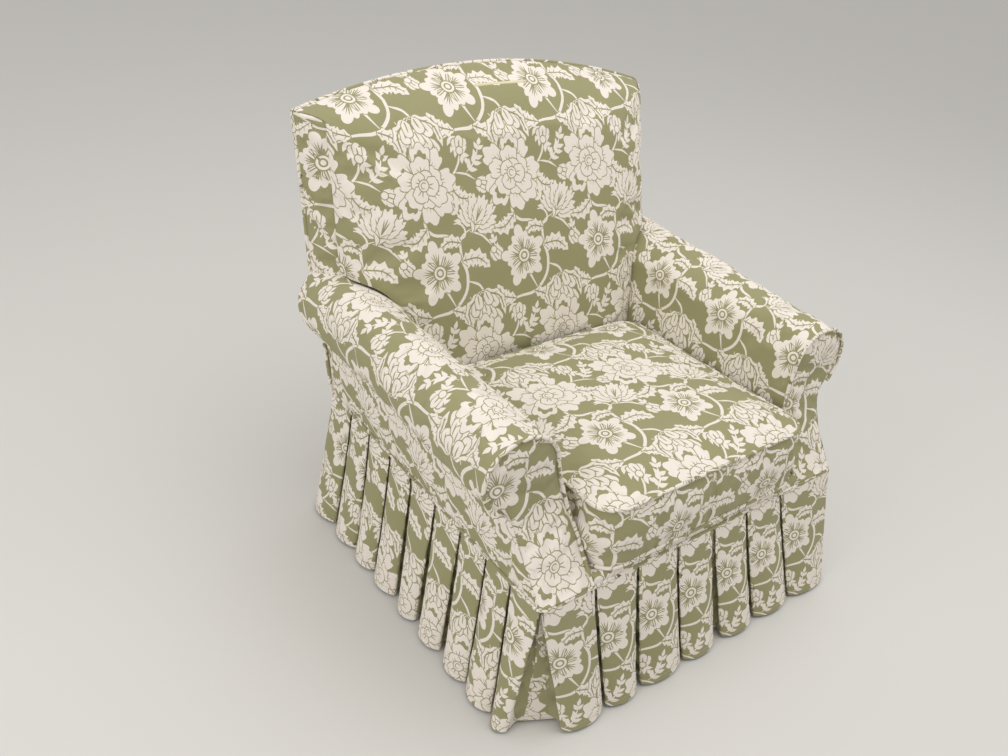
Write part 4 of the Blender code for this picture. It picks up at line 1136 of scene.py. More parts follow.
class Shader:
    """A material with one surface shader, built from nodes."""

    def __init__(self, name, roughness, **constants):
        self.material = bpy.data.materials.new(name)
        self.material.use_nodes = True
        self.tree = self.material.node_tree
        self.surface = self.tree.nodes["Principled BSDF"]
        self.surface.inputs["Roughness"].default_value = roughness
        for name, value in constants.items():
            self.surface.inputs[name.replace("_", " ")].default_value = value

    def node(self, kind, settings=None, values=None, output=0):
        made = self.tree.nodes.new(kind)
        for name, value in (settings or {}).items():
            if name == "stops":
                self.set_stops(made, value)
            else:
                setattr(made, name, value)
        for name, value in (values or {}).items():
            if isinstance(value, Value):
                self.tree.links.new(value.socket, made.inputs[name])
            else:
                made.inputs[name].default_value = value
        return Value(self, made.outputs[output])

    def set_stops(self, ramp, stops):
        elements = ramp.color_ramp.elements
        while len(elements) < len(stops):
            elements.new(1.0)
        for element, (position, colour) in zip(elements, stops):
            element.position = position
            element.color = colour

    def blend(self, share, a, b, kind="MIX"):
        settings = {"data_type": "RGBA", "blend_type": kind}
        return self.node("ShaderNodeMix", settings, {0: share, 6: a, 7: b}, 2)

    def place(self):
        return self.node("ShaderNodeTexCoord", output="Object")

    def stretched(self, vector, scale):
        return self.node("ShaderNodeMapping", {}, {"Vector": vector, "Scale": scale})

    def noise(self, vector, scale, detail=2.0):
        return self.node("ShaderNodeTexNoise", {}, {"Vector": vector, "Scale": scale, "Detail": detail})

    def bump(self, height, strength, distance):
        return self.node("ShaderNodeBump", {}, {"Height": height, "Strength": strength, "Distance": distance})

    def feed(self, **links):
        for name, value in links.items():
            self.tree.links.new(value.socket, self.surface.inputs[name.replace("_", " ")])
        return self.material


def colour(value, alpha=1.0):
    """A colour given as it looks on screen, 0 to 255, as the shader's numbers."""
    def linear(c):
        c = c / 255
        return c / 12.92 if c <= 0.04045 else ((c + 0.055) / 1.055) ** 2.4
    return tuple(linear(c) for c in value) + (alpha,)


def weave_height(u, v, thread):
    """Threads that pass over and under each other."""
    turn = 2 * math.pi / thread
    warp = (u * turn).maths("SINE")
    weft = (v * turn).maths("SINE")
    return warp * weft


def printed_cloth(settings):
    shader = Shader("printed_cotton", 0.86, Sheen_Weight=0.12, Sheen_Roughness=0.5, Specular_IOR_Level=0.25)
    tone = shader.node("ShaderNodeAttribute", {"attribute_name": "print_tone"}, output="Fac")
    cloth = shader.node("ShaderNodeUVMap", {"uv_map": "cloth"})
    split = shader.node("ShaderNodeSeparateXYZ", {}, {0: cloth})
    u = split
    v = Value(shader, split.socket.node.outputs[1])
    weave = weave_height(u, v, settings.thread)
    slubs = shader.noise(shader.stretched(cloth, (260.0, 1500.0, 1.0)), 1.0, 2.0)
    runs = shader.noise(shader.stretched(cloth, (1700.0, 240.0, 1.0)), 1.0, 1.0)
    fading = shader.noise(shader.place(), 5.0, 3.0)
    shade = 0.90 + slubs * 0.10 + runs * 0.06 + fading * 0.06
    ground = shader.blend(fading, (*settings.ground, 1.0), (*settings.ground_faded, 1.0))
    paint = shader.blend(tone, ground, (*settings.bloom, 1.0))
    paint = shader.blend(1.0, paint, shade, "MULTIPLY")
    height = weave * 0.5 + slubs * 0.6 + tone * 0.4
    return shader.feed(Base_Color=paint, Normal=shader.bump(height, 0.35, 0.00025))


def plain_weave(name, low, high, thread, roughness=0.9, depth=0.0004):
    """An unprinted woven cloth in two tones of one colour."""
    shader = Shader(name, roughness, Specular_IOR_Level=0.2)
    place = shader.place()
    split = shader.node("ShaderNodeSeparateXYZ", {}, {0: place})
    x = split
    z = Value(shader, split.socket.node.outputs[2])
    y = Value(shader, split.socket.node.outputs[1])
    weave = weave_height(x, y + z, thread)
    slubs = shader.noise(place, 1.2 / thread, 3.0)
    share = weave * 0.25 + slubs * 0.9
    paint = shader.blend(share, colour(low), colour(high))
    return shader.feed(Base_Color=paint, Normal=shader.bump(weave + slubs, 0.5, depth))


def foam():
    shader = Shader("foam_and_wadding", 0.95, Specular_IOR_Level=0.15)
    place = shader.place()
    cells = shader.node("ShaderNodeTexVoronoi", {}, {"Vector": place, "Scale": 420.0})
    soft = shader.noise(place, 38.0, 4.0)
    paint = shader.blend(soft, colour((222, 208, 170)), colour((240, 232, 208)))
    return shader.feed(Base_Color=paint, Normal=shader.bump(cells * 0.4 + soft, 0.4, 0.0012))


def beech():
    shader = Shader("frame_beech", 0.55, Specular_IOR_Level=0.35)
    place = shader.place()
    rings = shader.noise(shader.stretched(place, (9.0, 9.0, 60.0)), 1.0, 5.0)
    flecks = shader.noise(shader.stretched(place, (90.0, 90.0, 700.0)), 1.0, 2.0)
    share = rings * 0.75 + flecks * 0.3
    paint = shader.blend(share, colour((166, 122, 80)), colour((214, 178, 132)))
    return shader.feed(Base_Color=paint, Normal=shader.bump(flecks + rings * 0.3, 0.25, 0.0005))


def spring_steel():
    shader = Shader("spring_steel", 0.34, Metallic=1.0)
    place = shader.place()
    patches = shader.noise(place, 60.0, 4.0)
    scale = shader.noise(place, 900.0, 2.0)
    paint = shader.blend(patches, colour((92, 90, 88)), colour((150, 146, 140)))
    rough = 0.25 + scale * 0.25
    return shader.feed(Base_Color=paint, Roughness=rough, Normal=shader.bump(scale, 0.15, 0.0002))


def zip_metal():
    shader = Shader("zip_nickel", 0.28, Metallic=1.0)
    wear = shader.noise(shader.place(), 700.0, 3.0)
    paint = shader.blend(wear, colour((176, 172, 160)), colour((214, 210, 198)))
    return shader.feed(Base_Color=paint, Roughness=0.2 + wear * 0.25)


# Settings

class ClothSettings(bpy.types.PropertyGroup):
    ground: bpy.props.FloatVectorProperty(
        name="Ground", description="Colour of the cloth behind the blooms", subtype="COLOR",
        default=colour((147, 144, 102))[:3], min=0.0, max=1.0)
    ground_faded: bpy.props.FloatVectorProperty(
        name="Faded ground", description="Colour that the ground fades to in patches", subtype="COLOR",
        default=colour((154, 150, 113))[:3], min=0.0, max=1.0)
    bloom: bpy.props.FloatVectorProperty(
        name="Bloom", description="Colour of the printed flowers and leaves", subtype="COLOR",
        default=colour((232, 223, 213))[:3], min=0.0, max=1.0)
    thread: bpy.props.FloatProperty(
        name="Thread", description="Distance between two threads of the weave", unit="LENGTH",
        default=0.0009, min=0.0002, max=0.005)


class StageSettings(bpy.types.PropertyGroup):
    floor: bpy.props.FloatVectorProperty(
        name="Floor", description="Colour of the studio floor", subtype="COLOR",
        default=colour((214, 212, 208))[:3], min=0.0, max=1.0)
    sky: bpy.props.FloatProperty(
        name="Room light", description="Strength of the even light all round", default=0.66, min=0.0, max=4.0)
    ceiling: bpy.props.FloatProperty(
        name="Ceiling lamp", description="Power of the wide lamp overhead", unit="POWER",
        default=40.0, min=0.0, max=1000.0)
    side: bpy.props.FloatProperty(
        name="Side lamp", description="Power of the soft lamp beside the camera", unit="POWER",
        default=26.0, min=0.0, max=1000.0)


SHARED = {}


def cloth_settings():
    return bpy.context.scene.chair_cloth


def shared(name, make, *args):
    """A material or the print, made once."""
    if name not in SHARED:
        SHARED[name] = make(*args)
    return SHARED[name]


def new_cloth():
    return Cloth(shared("print", Print))


def cotton():
    return shared("cotton", printed_cloth, cloth_settings())


def finish_piece(piece, body, slot, *nodes):
    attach(piece, body)
    if nodes:
        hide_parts(*nodes)
    return piece


# Pieces

class CHAIR_OT_inside_back(bpy.types.Operator):
    """Covers the padded back's face, its rolled top edge and its boxed sides"""
    bl_idname = "chair.inside_back"
    bl_label = "Inside back"

    def execute(self, context):
        cloth = new_cloth()
        face, _ = back_face_surface()
        half = face_outline()
        face.ripple(0.0011, 0.11, 5)
        outline = np.vstack([half, half[::-1] * (-1.0, 1.0)])
        settle(face, outline, pressure=0.9, slack=0.012, cap=0.006)
        cloth.add(outline, face, at=(-0.075, 0.455))
        side, strip = back_side_surface()
        side.ripple(0.0012, 0.07, 9)
        settle(side, strip, pressure=1.0, slack=0.03, cap=0.004)
        cloth.add(strip, side, at=(0.05, 0.10))
        cloth.add(mirrored_outline(strip), Mirrored(side), at=(0.11, 0.03))
        piece = finish_piece(cloth.make("inside_back", cotton()), "chair", "cloth", "inside_back_cover")
        return {"FINISHED"}


class CHAIR_OT_outside_back(bpy.types.Operator):
    """Covers the rear of the back, from the skirt to the arched top"""
    bl_idname = "chair.outside_back"
    bl_label = "Outside back"

    def execute(self, context):
        cloth = new_cloth()
        place, length = rear_surface()
        zs = np.linspace(FOOT, back_top_z(BACK_HALF_WIDTH) - SEAM_CORD, 40)
        side = [(float(rear_half_width(z)) - UNDER_CORD, float(length(z))) for z in zs]
        xs = np.linspace(BACK_HALF_WIDTH - UNDER_CORD, 0.0, 40)
        top = [(x, float(length(back_top_z(x) - UNDER_CORD))) for x in xs]
        half = np.array([(0.0, float(length(FOOT)))] + side + top)
        outline = np.vstack([half, half[::-1] * (-1.0, 1.0)])
        surface = Surface.over(outline, (0.02, 0.02), place).ripple(0.0012, 0.16, 31)
        cloth.add(outline, surface, at=(-0.03, 0.05), step=(0.012, 0.012))
        piece = finish_piece(cloth.make("outside_back", cotton()), "chair", "cloth", "outside_back_cover")
        return {"FINISHED"}


ARM_END_ROUND = 0.008
ARM_END_REACH = 0.046


def arm_roll_surface(section, total):
    """The arm's inner side and roll: u runs forward along the arm, v up the inner side and over the roll."""
    middle = np.array((ROLL_X, ROLL_Z))

    def place(u, v):
        y = -u
        x = np.interp(v, total, section[:, 0])
        z = np.interp(v, total, section[:, 1])
        rear = rear_y(z) - 0.001
        past = np.clip((y - rear + ARM_END_ROUND) / ARM_END_ROUND, 0.0, None)
        turn = np.minimum(past, math.pi / 2)
        beyond = np.maximum(past - math.pi / 2, 0.0) * ARM_END_ROUND
        shrink = ARM_END_ROUND * (1.0 - np.cos(turn)) + beyond
        reach = np.hypot(x - middle[0], z - middle[1])
        share = np.clip(1.0 - shrink / np.maximum(reach, 1e-6), 0.05, 1.0)
        y = np.where(past > 0.0, rear - ARM_END_ROUND + ARM_END_ROUND * np.sin(turn), y)
        return np.column_stack([middle[0] + (x - middle[0]) * share, y, middle[1] + (z - middle[1]) * share])
    return place


def arm_roll_outline(section, total):
    """From the foot of the inner side to the seam under the roll, and back along the rear end."""
    front = [(-float(arm_front_y(z, 0.0022)), v) for (x, z), v in zip(section, total)]
    rear_extra = ARM_END_ROUND * (math.pi / 2 - 1.0) + ARM_END_REACH
    rear = []
    for (x, z), v in zip(section[::-1], total[::-1]):
        reach = float(rear_y(z)) - 0.001 + (rear_extra if z > neck_z() or x > ROLL_X - 0.02 else 0.0)
        rear.append((-reach, v))
    return np.array(front + rear)


def arm_outer_outline():
    zs = np.linspace(FOOT, neck_z(), 30)
    round_share = 0.3 * CORNER_ROUND
    front = [(float(arm_front_y(z)) + round_share, z) for z in zs]
    extra = np.clip((zs - neck_z() + 0.040) / 0.020, 0.0, 1.0) * 0.026
    rear = [(float(rear_y(z)) - UNDER_CORD + past, z) for z, past in zip(zs[::-1], extra[::-1])]
    return np.array(front + rear)


CORNER_ROUND = 0.007


def rounded_by(distance):
    """How far a surface turns in near an edge that it shares with another, square to it."""
    t = np.clip(distance / CORNER_ROUND, 0.0, 1.0)
    return CORNER_ROUND * (1.0 - np.sqrt(np.maximum(1.0 - (1.0 - t) ** 2, 0.0)))


def arm_outer_place(u, v):
    rear = rear_y(v) - UNDER_CORD
    past = np.maximum(u - rear, 0.0)
    turned_in = rounded_by(u - arm_front_y(v)) + past
    return np.column_stack([arm_panel_x(v) - turned_in, u - past, v])


FRONT_LEVELS = np.linspace(FOOT - 0.004, ARM_TOP + 0.01, 160)
FRONT_LENGTHS = along_line(np.column_stack([np.zeros(160), arm_front_y(FRONT_LEVELS), FRONT_LEVELS]))


def front_half_outline():
    """X and z of the arm's front panel, inside its seam cord."""
    section = roll_section()
    inset = SEAM_SPACE - UNDER_CORD
    ahead = unit(np.gradient(section, axis=0))
    inward = np.column_stack([ahead[:, 1], -ahead[:, 0]])
    ring = section + inward * inset
    ring[:, 1] = np.maximum(ring[:, 1], FOOT + 0.001)
    zs = np.linspace(neck_z() - 0.002, FOOT + 0.001, 30)
    outer = np.column_stack([arm_panel_x(zs) - 0.3 * CORNER_ROUND, zs])
    return np.vstack([ring, outer])


def arm_front_surface(outline_xz):
    def place(u, v):
        z = np.interp(v, FRONT_LENGTHS, FRONT_LEVELS)
        edge = distance_to(np.column_stack([u, z]), np.vstack([outline_xz, outline_xz[:1]])[::2])
        puff = 0.0045 * over_edge(edge, 0.028, 2.0)
        low = z < neck_z()
        turned_in = np.where(low, rounded_by(arm_panel_x(np.minimum(z, neck_z())) - u), 0.0)
        return np.column_stack([u, arm_front_y(z) - puff + 0.002 + turned_in, z])
    return place


class CHAIR_OT_arms(bpy.types.Operator):
    """Covers each arm: its inner side and roll, and the panel under the roll outside"""
    bl_idname = "chair.arms"
    bl_label = "Arms"

    def execute(self, context):
        section = roll_section()
        total = along_line(section)
        roll_outline = arm_roll_outline(section, total)
        outer_outline = arm_outer_outline()
        for side in ("left", "right"):
            cloth = new_cloth()
            seed = 11 if side == "left" else 12
            roll = Surface.over(roll_outline, (0.005, 0.006), arm_roll_surface(section, total))
            roll.ripple(0.0013, 0.09, seed)
            outer = Surface.over(outer_outline, (0.004, 0.006), arm_outer_place)
            outer.ripple(0.0010, 0.08, seed + 10)
            settle(roll, roll_outline, pressure=1.0, slack=0.016, cap=0.004)
            settle(outer, outer_outline, pressure=0.8, slack=0.016, cap=0.004)
            if side == "left":
                cloth.add(roll_outline, roll, at=(-0.16, 0.12))
                cloth.add(outer_outline, outer, at=(0.02, 0.20))
            else:
                cloth.add(mirrored_outline(roll_outline), Mirrored(roll), at=(0.12, 0.05))
                cloth.add(mirrored_outline(outer_outline), Mirrored(outer), at=(-0.30, 0.16))
            piece = finish_piece(cloth.make(f"arm_{side}", cotton()), "chair", "cloth", f"arm_cover_{side}")
        return {"FINISHED"}


class CHAIR_OT_arm_fronts(bpy.types.Operator):
    """Covers the flat front of each arm, with its rolled outline"""
    bl_idname = "chair.arm_fronts"
    bl_label = "Arm fronts"

    def execute(self, context):
        flat = front_half_outline()
        outline = np.column_stack([flat[:, 0], np.interp(flat[:, 1], FRONT_LEVELS, FRONT_LENGTHS)])
        surface = Surface.over(outline, (0.003, 0.004), arm_front_surface(flat)).ripple(0.0009, 0.05, 21)
        settle(surface, outline, pressure=0.8, slack=0.016, cap=0.003)
        for side in ("left", "right"):
            cloth = new_cloth()
            if side == "left":
                cloth.add(outline, surface, at=(0.20, 0.06), step=(0.006, 0.006))
            else:
                cloth.add(mirrored_outline(outline), Mirrored(surface), at=(-0.44, 0.12), step=(0.006, 0.006))
            piece = finish_piece(cloth.make(f"arm_front_{side}", cotton()), "chair", "cloth",
                                 f"arm_front_panel_{side}")
        return {"FINISHED"}


def cord_piece(name, lines, body, node, at=(0.0, 0.0)):
    """Seam cords in bias-cut cloth along one or more lines, each with its inward direction."""
    cloth = new_cloth()
    for points, inward, closed in lines:
        surface = CordSurface(points, SEAM_CORD, inward, closed)
        cloth.add(surface.outline(), surface, at=at, turn=math.radians(45.0),
                  step=(0.0035, 0.0024), shell=0.0012)
    return finish_piece(cloth.make(name, cotton()), body, "cloth", node)


def arm_cord_line():
    section = roll_section()
    z = np.maximum(section[:, 1], FOOT)
    return np.column_stack([section[:, 0], arm_front_y(z), z])


def back_cord_line():
    zs = np.linspace(FOOT, back_top_z(BACK_HALF_WIDTH) - SEAM_CORD / 2, 60)
    side = np.column_stack([rear_half_width(zs), rear_y(zs), zs])
    xs = np.linspace(1.0, -1.0, 80) * (BACK_HALF_WIDTH - SEAM_CORD / 2)
    tops = back_top_z(xs)
    top = np.column_stack([xs, rear_y(tops), tops])
    return np.vstack([side, top, (side * (-1.0, 1.0, 1.0))[::-1]])


def corner_ring(half, low_y, high_y, radius, z, steps=8):
    """A rectangle with round corners, seen from above, counterclockwise from its front left corner."""
    points = []
    for x, y, start in ((half - radius, low_y + radius, -90.0), (half - radius, high_y - radius, 0.0),
                        (radius - half, high_y - radius, 90.0), (radius - half, low_y + radius, 180.0)):
        for i in range(steps + 1):
            angle = math.radians(start + 90.0 * i / steps)
            points.append((x + radius * math.cos(angle), y + radius * math.sin(angle), z))
    return np.array(points)


class CHAIR_OT_cords(bpy.types.Operator):
    """Makes the cloth-covered seam cords of the arms, the back and the skirt"""
    bl_idname = "chair.cords"
    bl_label = "Seam cords"

    def execute(self, context):
        left = arm_cord_line()
        for side, sign in (("left", 1.0), ("right", -1.0)):
            centre = np.array((sign * ROLL_X, 0.25, ROLL_Z - 0.02))
            line = left * (sign, 1.0, 1.0)
            cord_piece(f"arm_cord_{side}", [(line, lambda p, c=centre: c - p, False)], "chair",
                       f"arm_welt_{side}", at=(0.02 * sign, 0.31))
        middle = np.array((0.0, 0.55, 0.55))
        cord_piece("back_cord", [(back_cord_line(), lambda p: middle - p, False)], "chair", "back_welt",
                   at=(0.05, 0.12))
        ring = corner_ring(BODY_HALF_WIDTH, 0.0, BODY_DEPTH, BODY_CORNER, SKIRT_TOP)
        ring = dense_line(ring, 0.01, closed=True)
        heart = np.array((0.0, BODY_DEPTH / 2, SKIRT_TOP))
        cord_piece("skirt_cord", [(ring, lambda p: heart - p, True)], "chair", "skirt_welt", at=(0.1, 0.22))
        return {"FINISHED"}


# Cushion

def cushion_plan(inset=0.0, steps=10):
    """The cushion's outline from above, counterclockwise from the middle of its front."""
    half = CUSHION_HALF_WIDTH - inset
    ring = corner_ring(half, inset, CUSHION_LENGTH - inset, CUSHION_CORNER - inset, 0.0, steps)[:, :2]
    ring = dense_line(np.vstack([[(0.0, inset)], ring]), 0.006, closed=True)
    waist = 1.0 - ((ring[:, 1] - CUSHION_LENGTH / 2) / (CUSHION_LENGTH / 2)) ** 2
    waist *= np.clip((np.abs(ring[:, 0]) - half * 0.5) / (half * 0.45), 0.0, 1.0)
    ring[:, 0] -= np.sign(ring[:, 0]) * CUSHION_WAIST * waist
    return ring


def cushion_top_place(plan):
    def place(u, v):
        edge = distance_to(np.column_stack([u, v]), np.vstack([plan, plan[:1]])[::2])
        out = ~inside(np.column_stack([u, v]), plan)
        edge = np.where(out, -edge, edge)
        swell = over_edge(edge, 0.060, 2.0) * 0.45 + np.clip(edge / 0.23, 0.0, 1.0) ** 0.8 * 0.55
        return cushion_point(u, v, CUSHION_THICKNESS + CUSHION_CROWN * swell)
    return place


def cushion_bottom_place(u, v):
    return cushion_point(-u, v, -0.0015)


def cushion_side_surface(plan):
    ring = np.vstack([plan, plan[:1]])
    total = along_line(ring)
    ahead = unit(np.gradient(ring, axis=0))
    ahead[0] = ahead[-1] = unit(ring[1] - ring[-2])
    out = np.column_stack([ahead[:, 1], -ahead[:, 0]])

    def place(u, v):
        x, y = (np.interp(u, total, ring[:, k]) for k in (0, 1))
        ox, oy = (np.interp(u, total, out[:, k]) for k in (0, 1))
        share = np.clip(v / CUSHION_THICKNESS, 0.0, 1.0)
        flat_by_zip = np.where(oy > 0.8, np.clip((np.abs(x) - 0.18) / 0.02, 0, 1), 1.0)
        bulge = 0.0062 * np.sin(math.pi * share) ** 0.7 * flat_by_zip
        bulge = bulge - 0.0016
        return cushion_point(x + ox * bulge, y + oy * bulge, v)
    return place, total[-1]


def clear_of_zip(points):
    """1 over the cushion's boxing, and 0 round the zip in its rear."""
    rear = np.clip((points[..., 1] - CUSHION_LENGTH + 0.030) / 0.010, 0.0, 1.0)
    return 1.0 - rear * np.clip((0.20 - np.abs(points[..., 0])) / 0.015, 0.0, 1.0)


class CHAIR_OT_cushion(bpy.types.Operator):
    """Makes the loose box cushion: its crowned top, its boxing, its base and its two seam cords"""
    bl_idname = "chair.cushion"
    bl_label = "Seat cushion"

    def execute(self, context):
        cloth = new_cloth()
        plan = cushion_plan()
        top = cushion_plan(UNDER_CORD)
        surface = Surface.over(top, (0.006, 0.006), cushion_top_place(plan)).ripple(0.0012, 0.10, 41)
        settle(surface, top, pressure=1.0, slack=0.014, cap=0.007)
        cloth.add(top, surface, at=(-0.085, -0.245))
        place, length = cushion_side_surface(plan)
        low, high = UNDER_CORD, CUSHION_THICKNESS - UNDER_CORD
        strip = np.array([(0.0, low), (length, low), (length, high), (0.0, high)])
        side = Surface.over(strip, (0.006, 0.008), place).ripple(0.0011, 0.06, 43)
        settle(side, strip, pressure=0.8, slack=0.025, cap=0.004, mask=clear_of_zip)
        cloth.add(strip, side, at=(0.07, -0.06))
        base = top * (-1.0, 1.0)
        under = Surface.over(base, (0.02, 0.02), cushion_bottom_place)
        cloth.add(base, under, at=(0.05, 0.05), step=(0.012, 0.012))
        piece = finish_piece(cloth.make("cushion", cotton()), "seat_cushion", "cloth", "cushion_cover")
        heart = cushion_point(np.array([0.0]), np.array([CUSHION_LENGTH / 2]),
                              np.array([CUSHION_THICKNESS / 2]))
        for name, height in (("bottom", 0.0), ("top", CUSHION_THICKNESS)):
            line = cushion_point(plan[:, 0], plan[:, 1], np.full(len(plan), height))
            cord_piece(f"cushion_cord_{name}", [(line, lambda p: heart - p, True)], "seat_cushion",
                       f"cushion_welt_{name}", at=(0.03, 0.17 + height))
        return {"FINISHED"}


class CHAIR_OT_deck(bpy.types.Operator):
    """Covers the platform under the cushion and wraps it down in front as a narrow apron"""
    bl_idname = "chair.deck"
    bl_label = "Deck and apron"

    def execute(self, context):
        path = [(0.0, FOOT - 0.001), (0.0, DECK_FRONT - APRON_ROUND)]
        for angle in np.linspace(0.0, math.pi / 2, 8)[1:]:
            path.append((APRON_ROUND * (1.0 - math.cos(angle)),
                         DECK_FRONT - APRON_ROUND * (1.0 - math.sin(angle))))
        rear = seat_point(0.0, np.array([DECK_DEPTH]), 0.0)[0]
        path.append((rear[1], rear[2]))
        path = np.array(path)
        total = along_line(path)
        half = ARM_INNER - 0.001

        def place(u, v):
            return np.column_stack([u, np.interp(v, total, path[:, 0]), np.interp(v, total, path[:, 1])])

        outline = np.array([(-half, 0.0), (half, 0.0), (half, total[-1]), (-half, total[-1])])
        vs = np.concatenate([np.linspace(0.0, 0.05, 40), np.linspace(0.05, total[-1], 40)[1:]])
        surface = Surface.placed(np.linspace(-half, half, 60), vs, place).ripple(0.0006, 0.06, 51)
        cloth = new_cloth()
        cloth.add(outline, surface, at=(0.03, -0.11), step=(0.010, 0.010),
                  lines=[[(-half, 0.03), (half, 0.03)], [(-half, 0.018), (half, 0.018)]])
        piece = finish_piece(cloth.make("deck", cotton()), "chair", "cloth", "deck_cover")
        return {"FINISHED"}


# Skirt

class Pleat:
    """The slit between two of the skirt's panels: where it lies at the top and hem, and how far it opens."""

    def __init__(self, top, hem, gap, depth):
        self.top, self.hem, self.gap, self.depth = top, hem, gap, depth


SKIRT_DROP = SKIRT_TOP - 0.002 - HEM_HEIGHT
RETURN = 0.026
SKIRT_LEVELS = np.linspace(0.0, 1.0, 15)
TOP_DEPTH = 0.0042
FACE_POINTS = 13
HEM_STITCH = 0.012


def skirt_corner(index):
    """Body corner and the outward diagonal there."""
    x = (1.0, 1.0, -1.0, -1.0)[index] * BODY_HALF_WIDTH
    y = (0.0, BODY_DEPTH, BODY_DEPTH, 0.0)[index]
    out = (1.0 if x > 0 else -1.0, -1.0 if y == 0.0 else 1.0)
    return np.array((x, y)), np.array(out)


SIDES = {
    "front": ((-1, 0), (1, 0), (1.0, 0.0), (0.0, -1.0), 0.038),
    "left": ((1, 0), (1, 1), (0.0, 1.0), (1.0, 0.0), 0.030),
    "back": ((1, 1), (-1, 1), (-1.0, 0.0), (0.0, 1.0), 0.028),
    "right": ((-1, 1), (-1, 0), (0.0, -1.0), (-1.0, 0.0), 0.030),
}


def skirt_line(name, pleats, splays, drop, hearts):
    """One side of the skirt seen from above at a drop: a list of points and the round of the fold at each."""
    start, end, along, out, flare = SIDES[name]
    first = np.array((start[0] * BODY_HALF_WIDTH, start[1] * BODY_DEPTH))
    last = np.array((end[0] * BODY_HALF_WIDTH, end[1] * BODY_DEPTH))
    along, out = np.array(along), np.array(out)
    length = float((last - first) @ along)
    flared = flare * drop**1.15

    def spot(s, o):
        return first + along * s + out * (o + flared)

    points = [(hearts[0], 0.0)]
    edges = [(-splays[0] * drop, 0.0, 0.024)] + [
        (mix(p.top, p.hem, drop), p.gap * drop + 0.0012, p.depth) for p in pleats] + [
        (length + splays[1] * drop, 0.0, 0.024)]
    for k in range(len(edges) - 1):
        s0, g0, d0 = edges[k]
        s1, g1, d1 = edges[k + 1]
        left, right = s0 + g0 / 2, s1 - g1 / 2
        deep = mix(TOP_DEPTH, d0, drop**0.8)
        back = math.sqrt(RETURN**2 - deep**2)
        points.append((spot(left + back, -deep), 0.004))
        points.append((spot(left, 0.0), 0.0035))
        bulge = mix(0.003, 0.015, drop**0.9)
        for i in range(1, FACE_POINTS):
            t = i / FACE_POINTS
            points.append((spot(mix(left, right, t), bulge * (1.0 - abs(2 * t - 1.0) ** 2.2)), 0.0))
        points.append((spot(right, 0.0), 0.0035))
        deep = mix(TOP_DEPTH, d1, drop**0.8)
        back = math.sqrt(RETURN**2 - deep**2)
        points.append((spot(right - back, -deep), 0.004))
    points.append((hearts[1], 0.0))
    return points


def rounded_line(points, fill=5):
    """The line with its folds rounded and a fixed number of points along each straight run."""
    line = []
    count = len(points)
    ends = []
    for i, (p, radius) in enumerate(points):
        if radius == 0.0 or i in (0, count - 1):
            ends.append((p, p, [p]))
            continue
        a, b = points[i - 1][0], points[i + 1][0]
        before, after = np.linalg.norm(a - p), np.linalg.norm(b - p)
        cut_a = min(radius, before * 0.45)
        cut_b = min(radius, after * 0.45)
        start, stop = p + (a - p) / before * cut_a, p + (b - p) / after * cut_b
        bend = [(1 - t) ** 2 * start + 2 * t * (1 - t) * p + t**2 * stop for t in (0.0, 0.25, 0.5, 0.75, 1.0)]
        ends.append((start, stop, bend))
    for i, (start, stop, bend) in enumerate(ends):
        line += bend
        if i + 1 < count and (points[i][1] > 0.0 or points[i + 1][1] > 0.0 or i == 0 or i == count - 2):
            target = ends[i + 1][0]
            line += [mix(stop, target, k / fill) for k in range(1, fill)]
    return np.array(line)


def spaced(values, step):
    """The values that lie at least a step after the last one kept."""
    kept = [values[0]]
    for value in values[1:]:
        if value - kept[-1] >= step:
            kept.append(value)
    return kept


def skirt_hearts(drop, splays):
    """The middle of each corner's inner fold at a drop."""
    made = []
    for index in range(4):
        corner, out = skirt_corner(index)
        splayed = splays[index]
        reach = mix(-0.006, -0.012 if splayed else 0.014, drop)
        made.append(corner + out * reach)
    return made


def skirt_pleats(name, rng):
    """Where one side's pleats lie: the front's at the photo's slits, the others nearly even."""
    if name == "front":
        tops = (0.106, 0.195, 0.283, 0.369, 0.452, 0.543)
        hems = (0.136, 0.214, 0.318, 0.412, 0.508, 0.612)
        gaps = (0.003, 0.006, 0.002, 0.016, 0.005, 0.003)
        return [Pleat(t, h, g, 0.022) for t, h, g in zip(tops, hems, gaps)]
    length = BODY_HALF_WIDTH * 2 if name == "back" else BODY_DEPTH
    count = 8 if name == "back" else 9
    pleats = []
    for k in range(1, count):
        at = length * k / count
        top = at + rng.uniform(-0.004, 0.004)
        hem = at + rng.uniform(-0.008, 0.008) + (k / count - 0.5) * 0.03
        gap = rng.choice((0.001, 0.002, 0.004, 0.012))
        pleats.append(Pleat(top, hem, gap, rng.uniform(0.018, 0.024)))
    return pleats


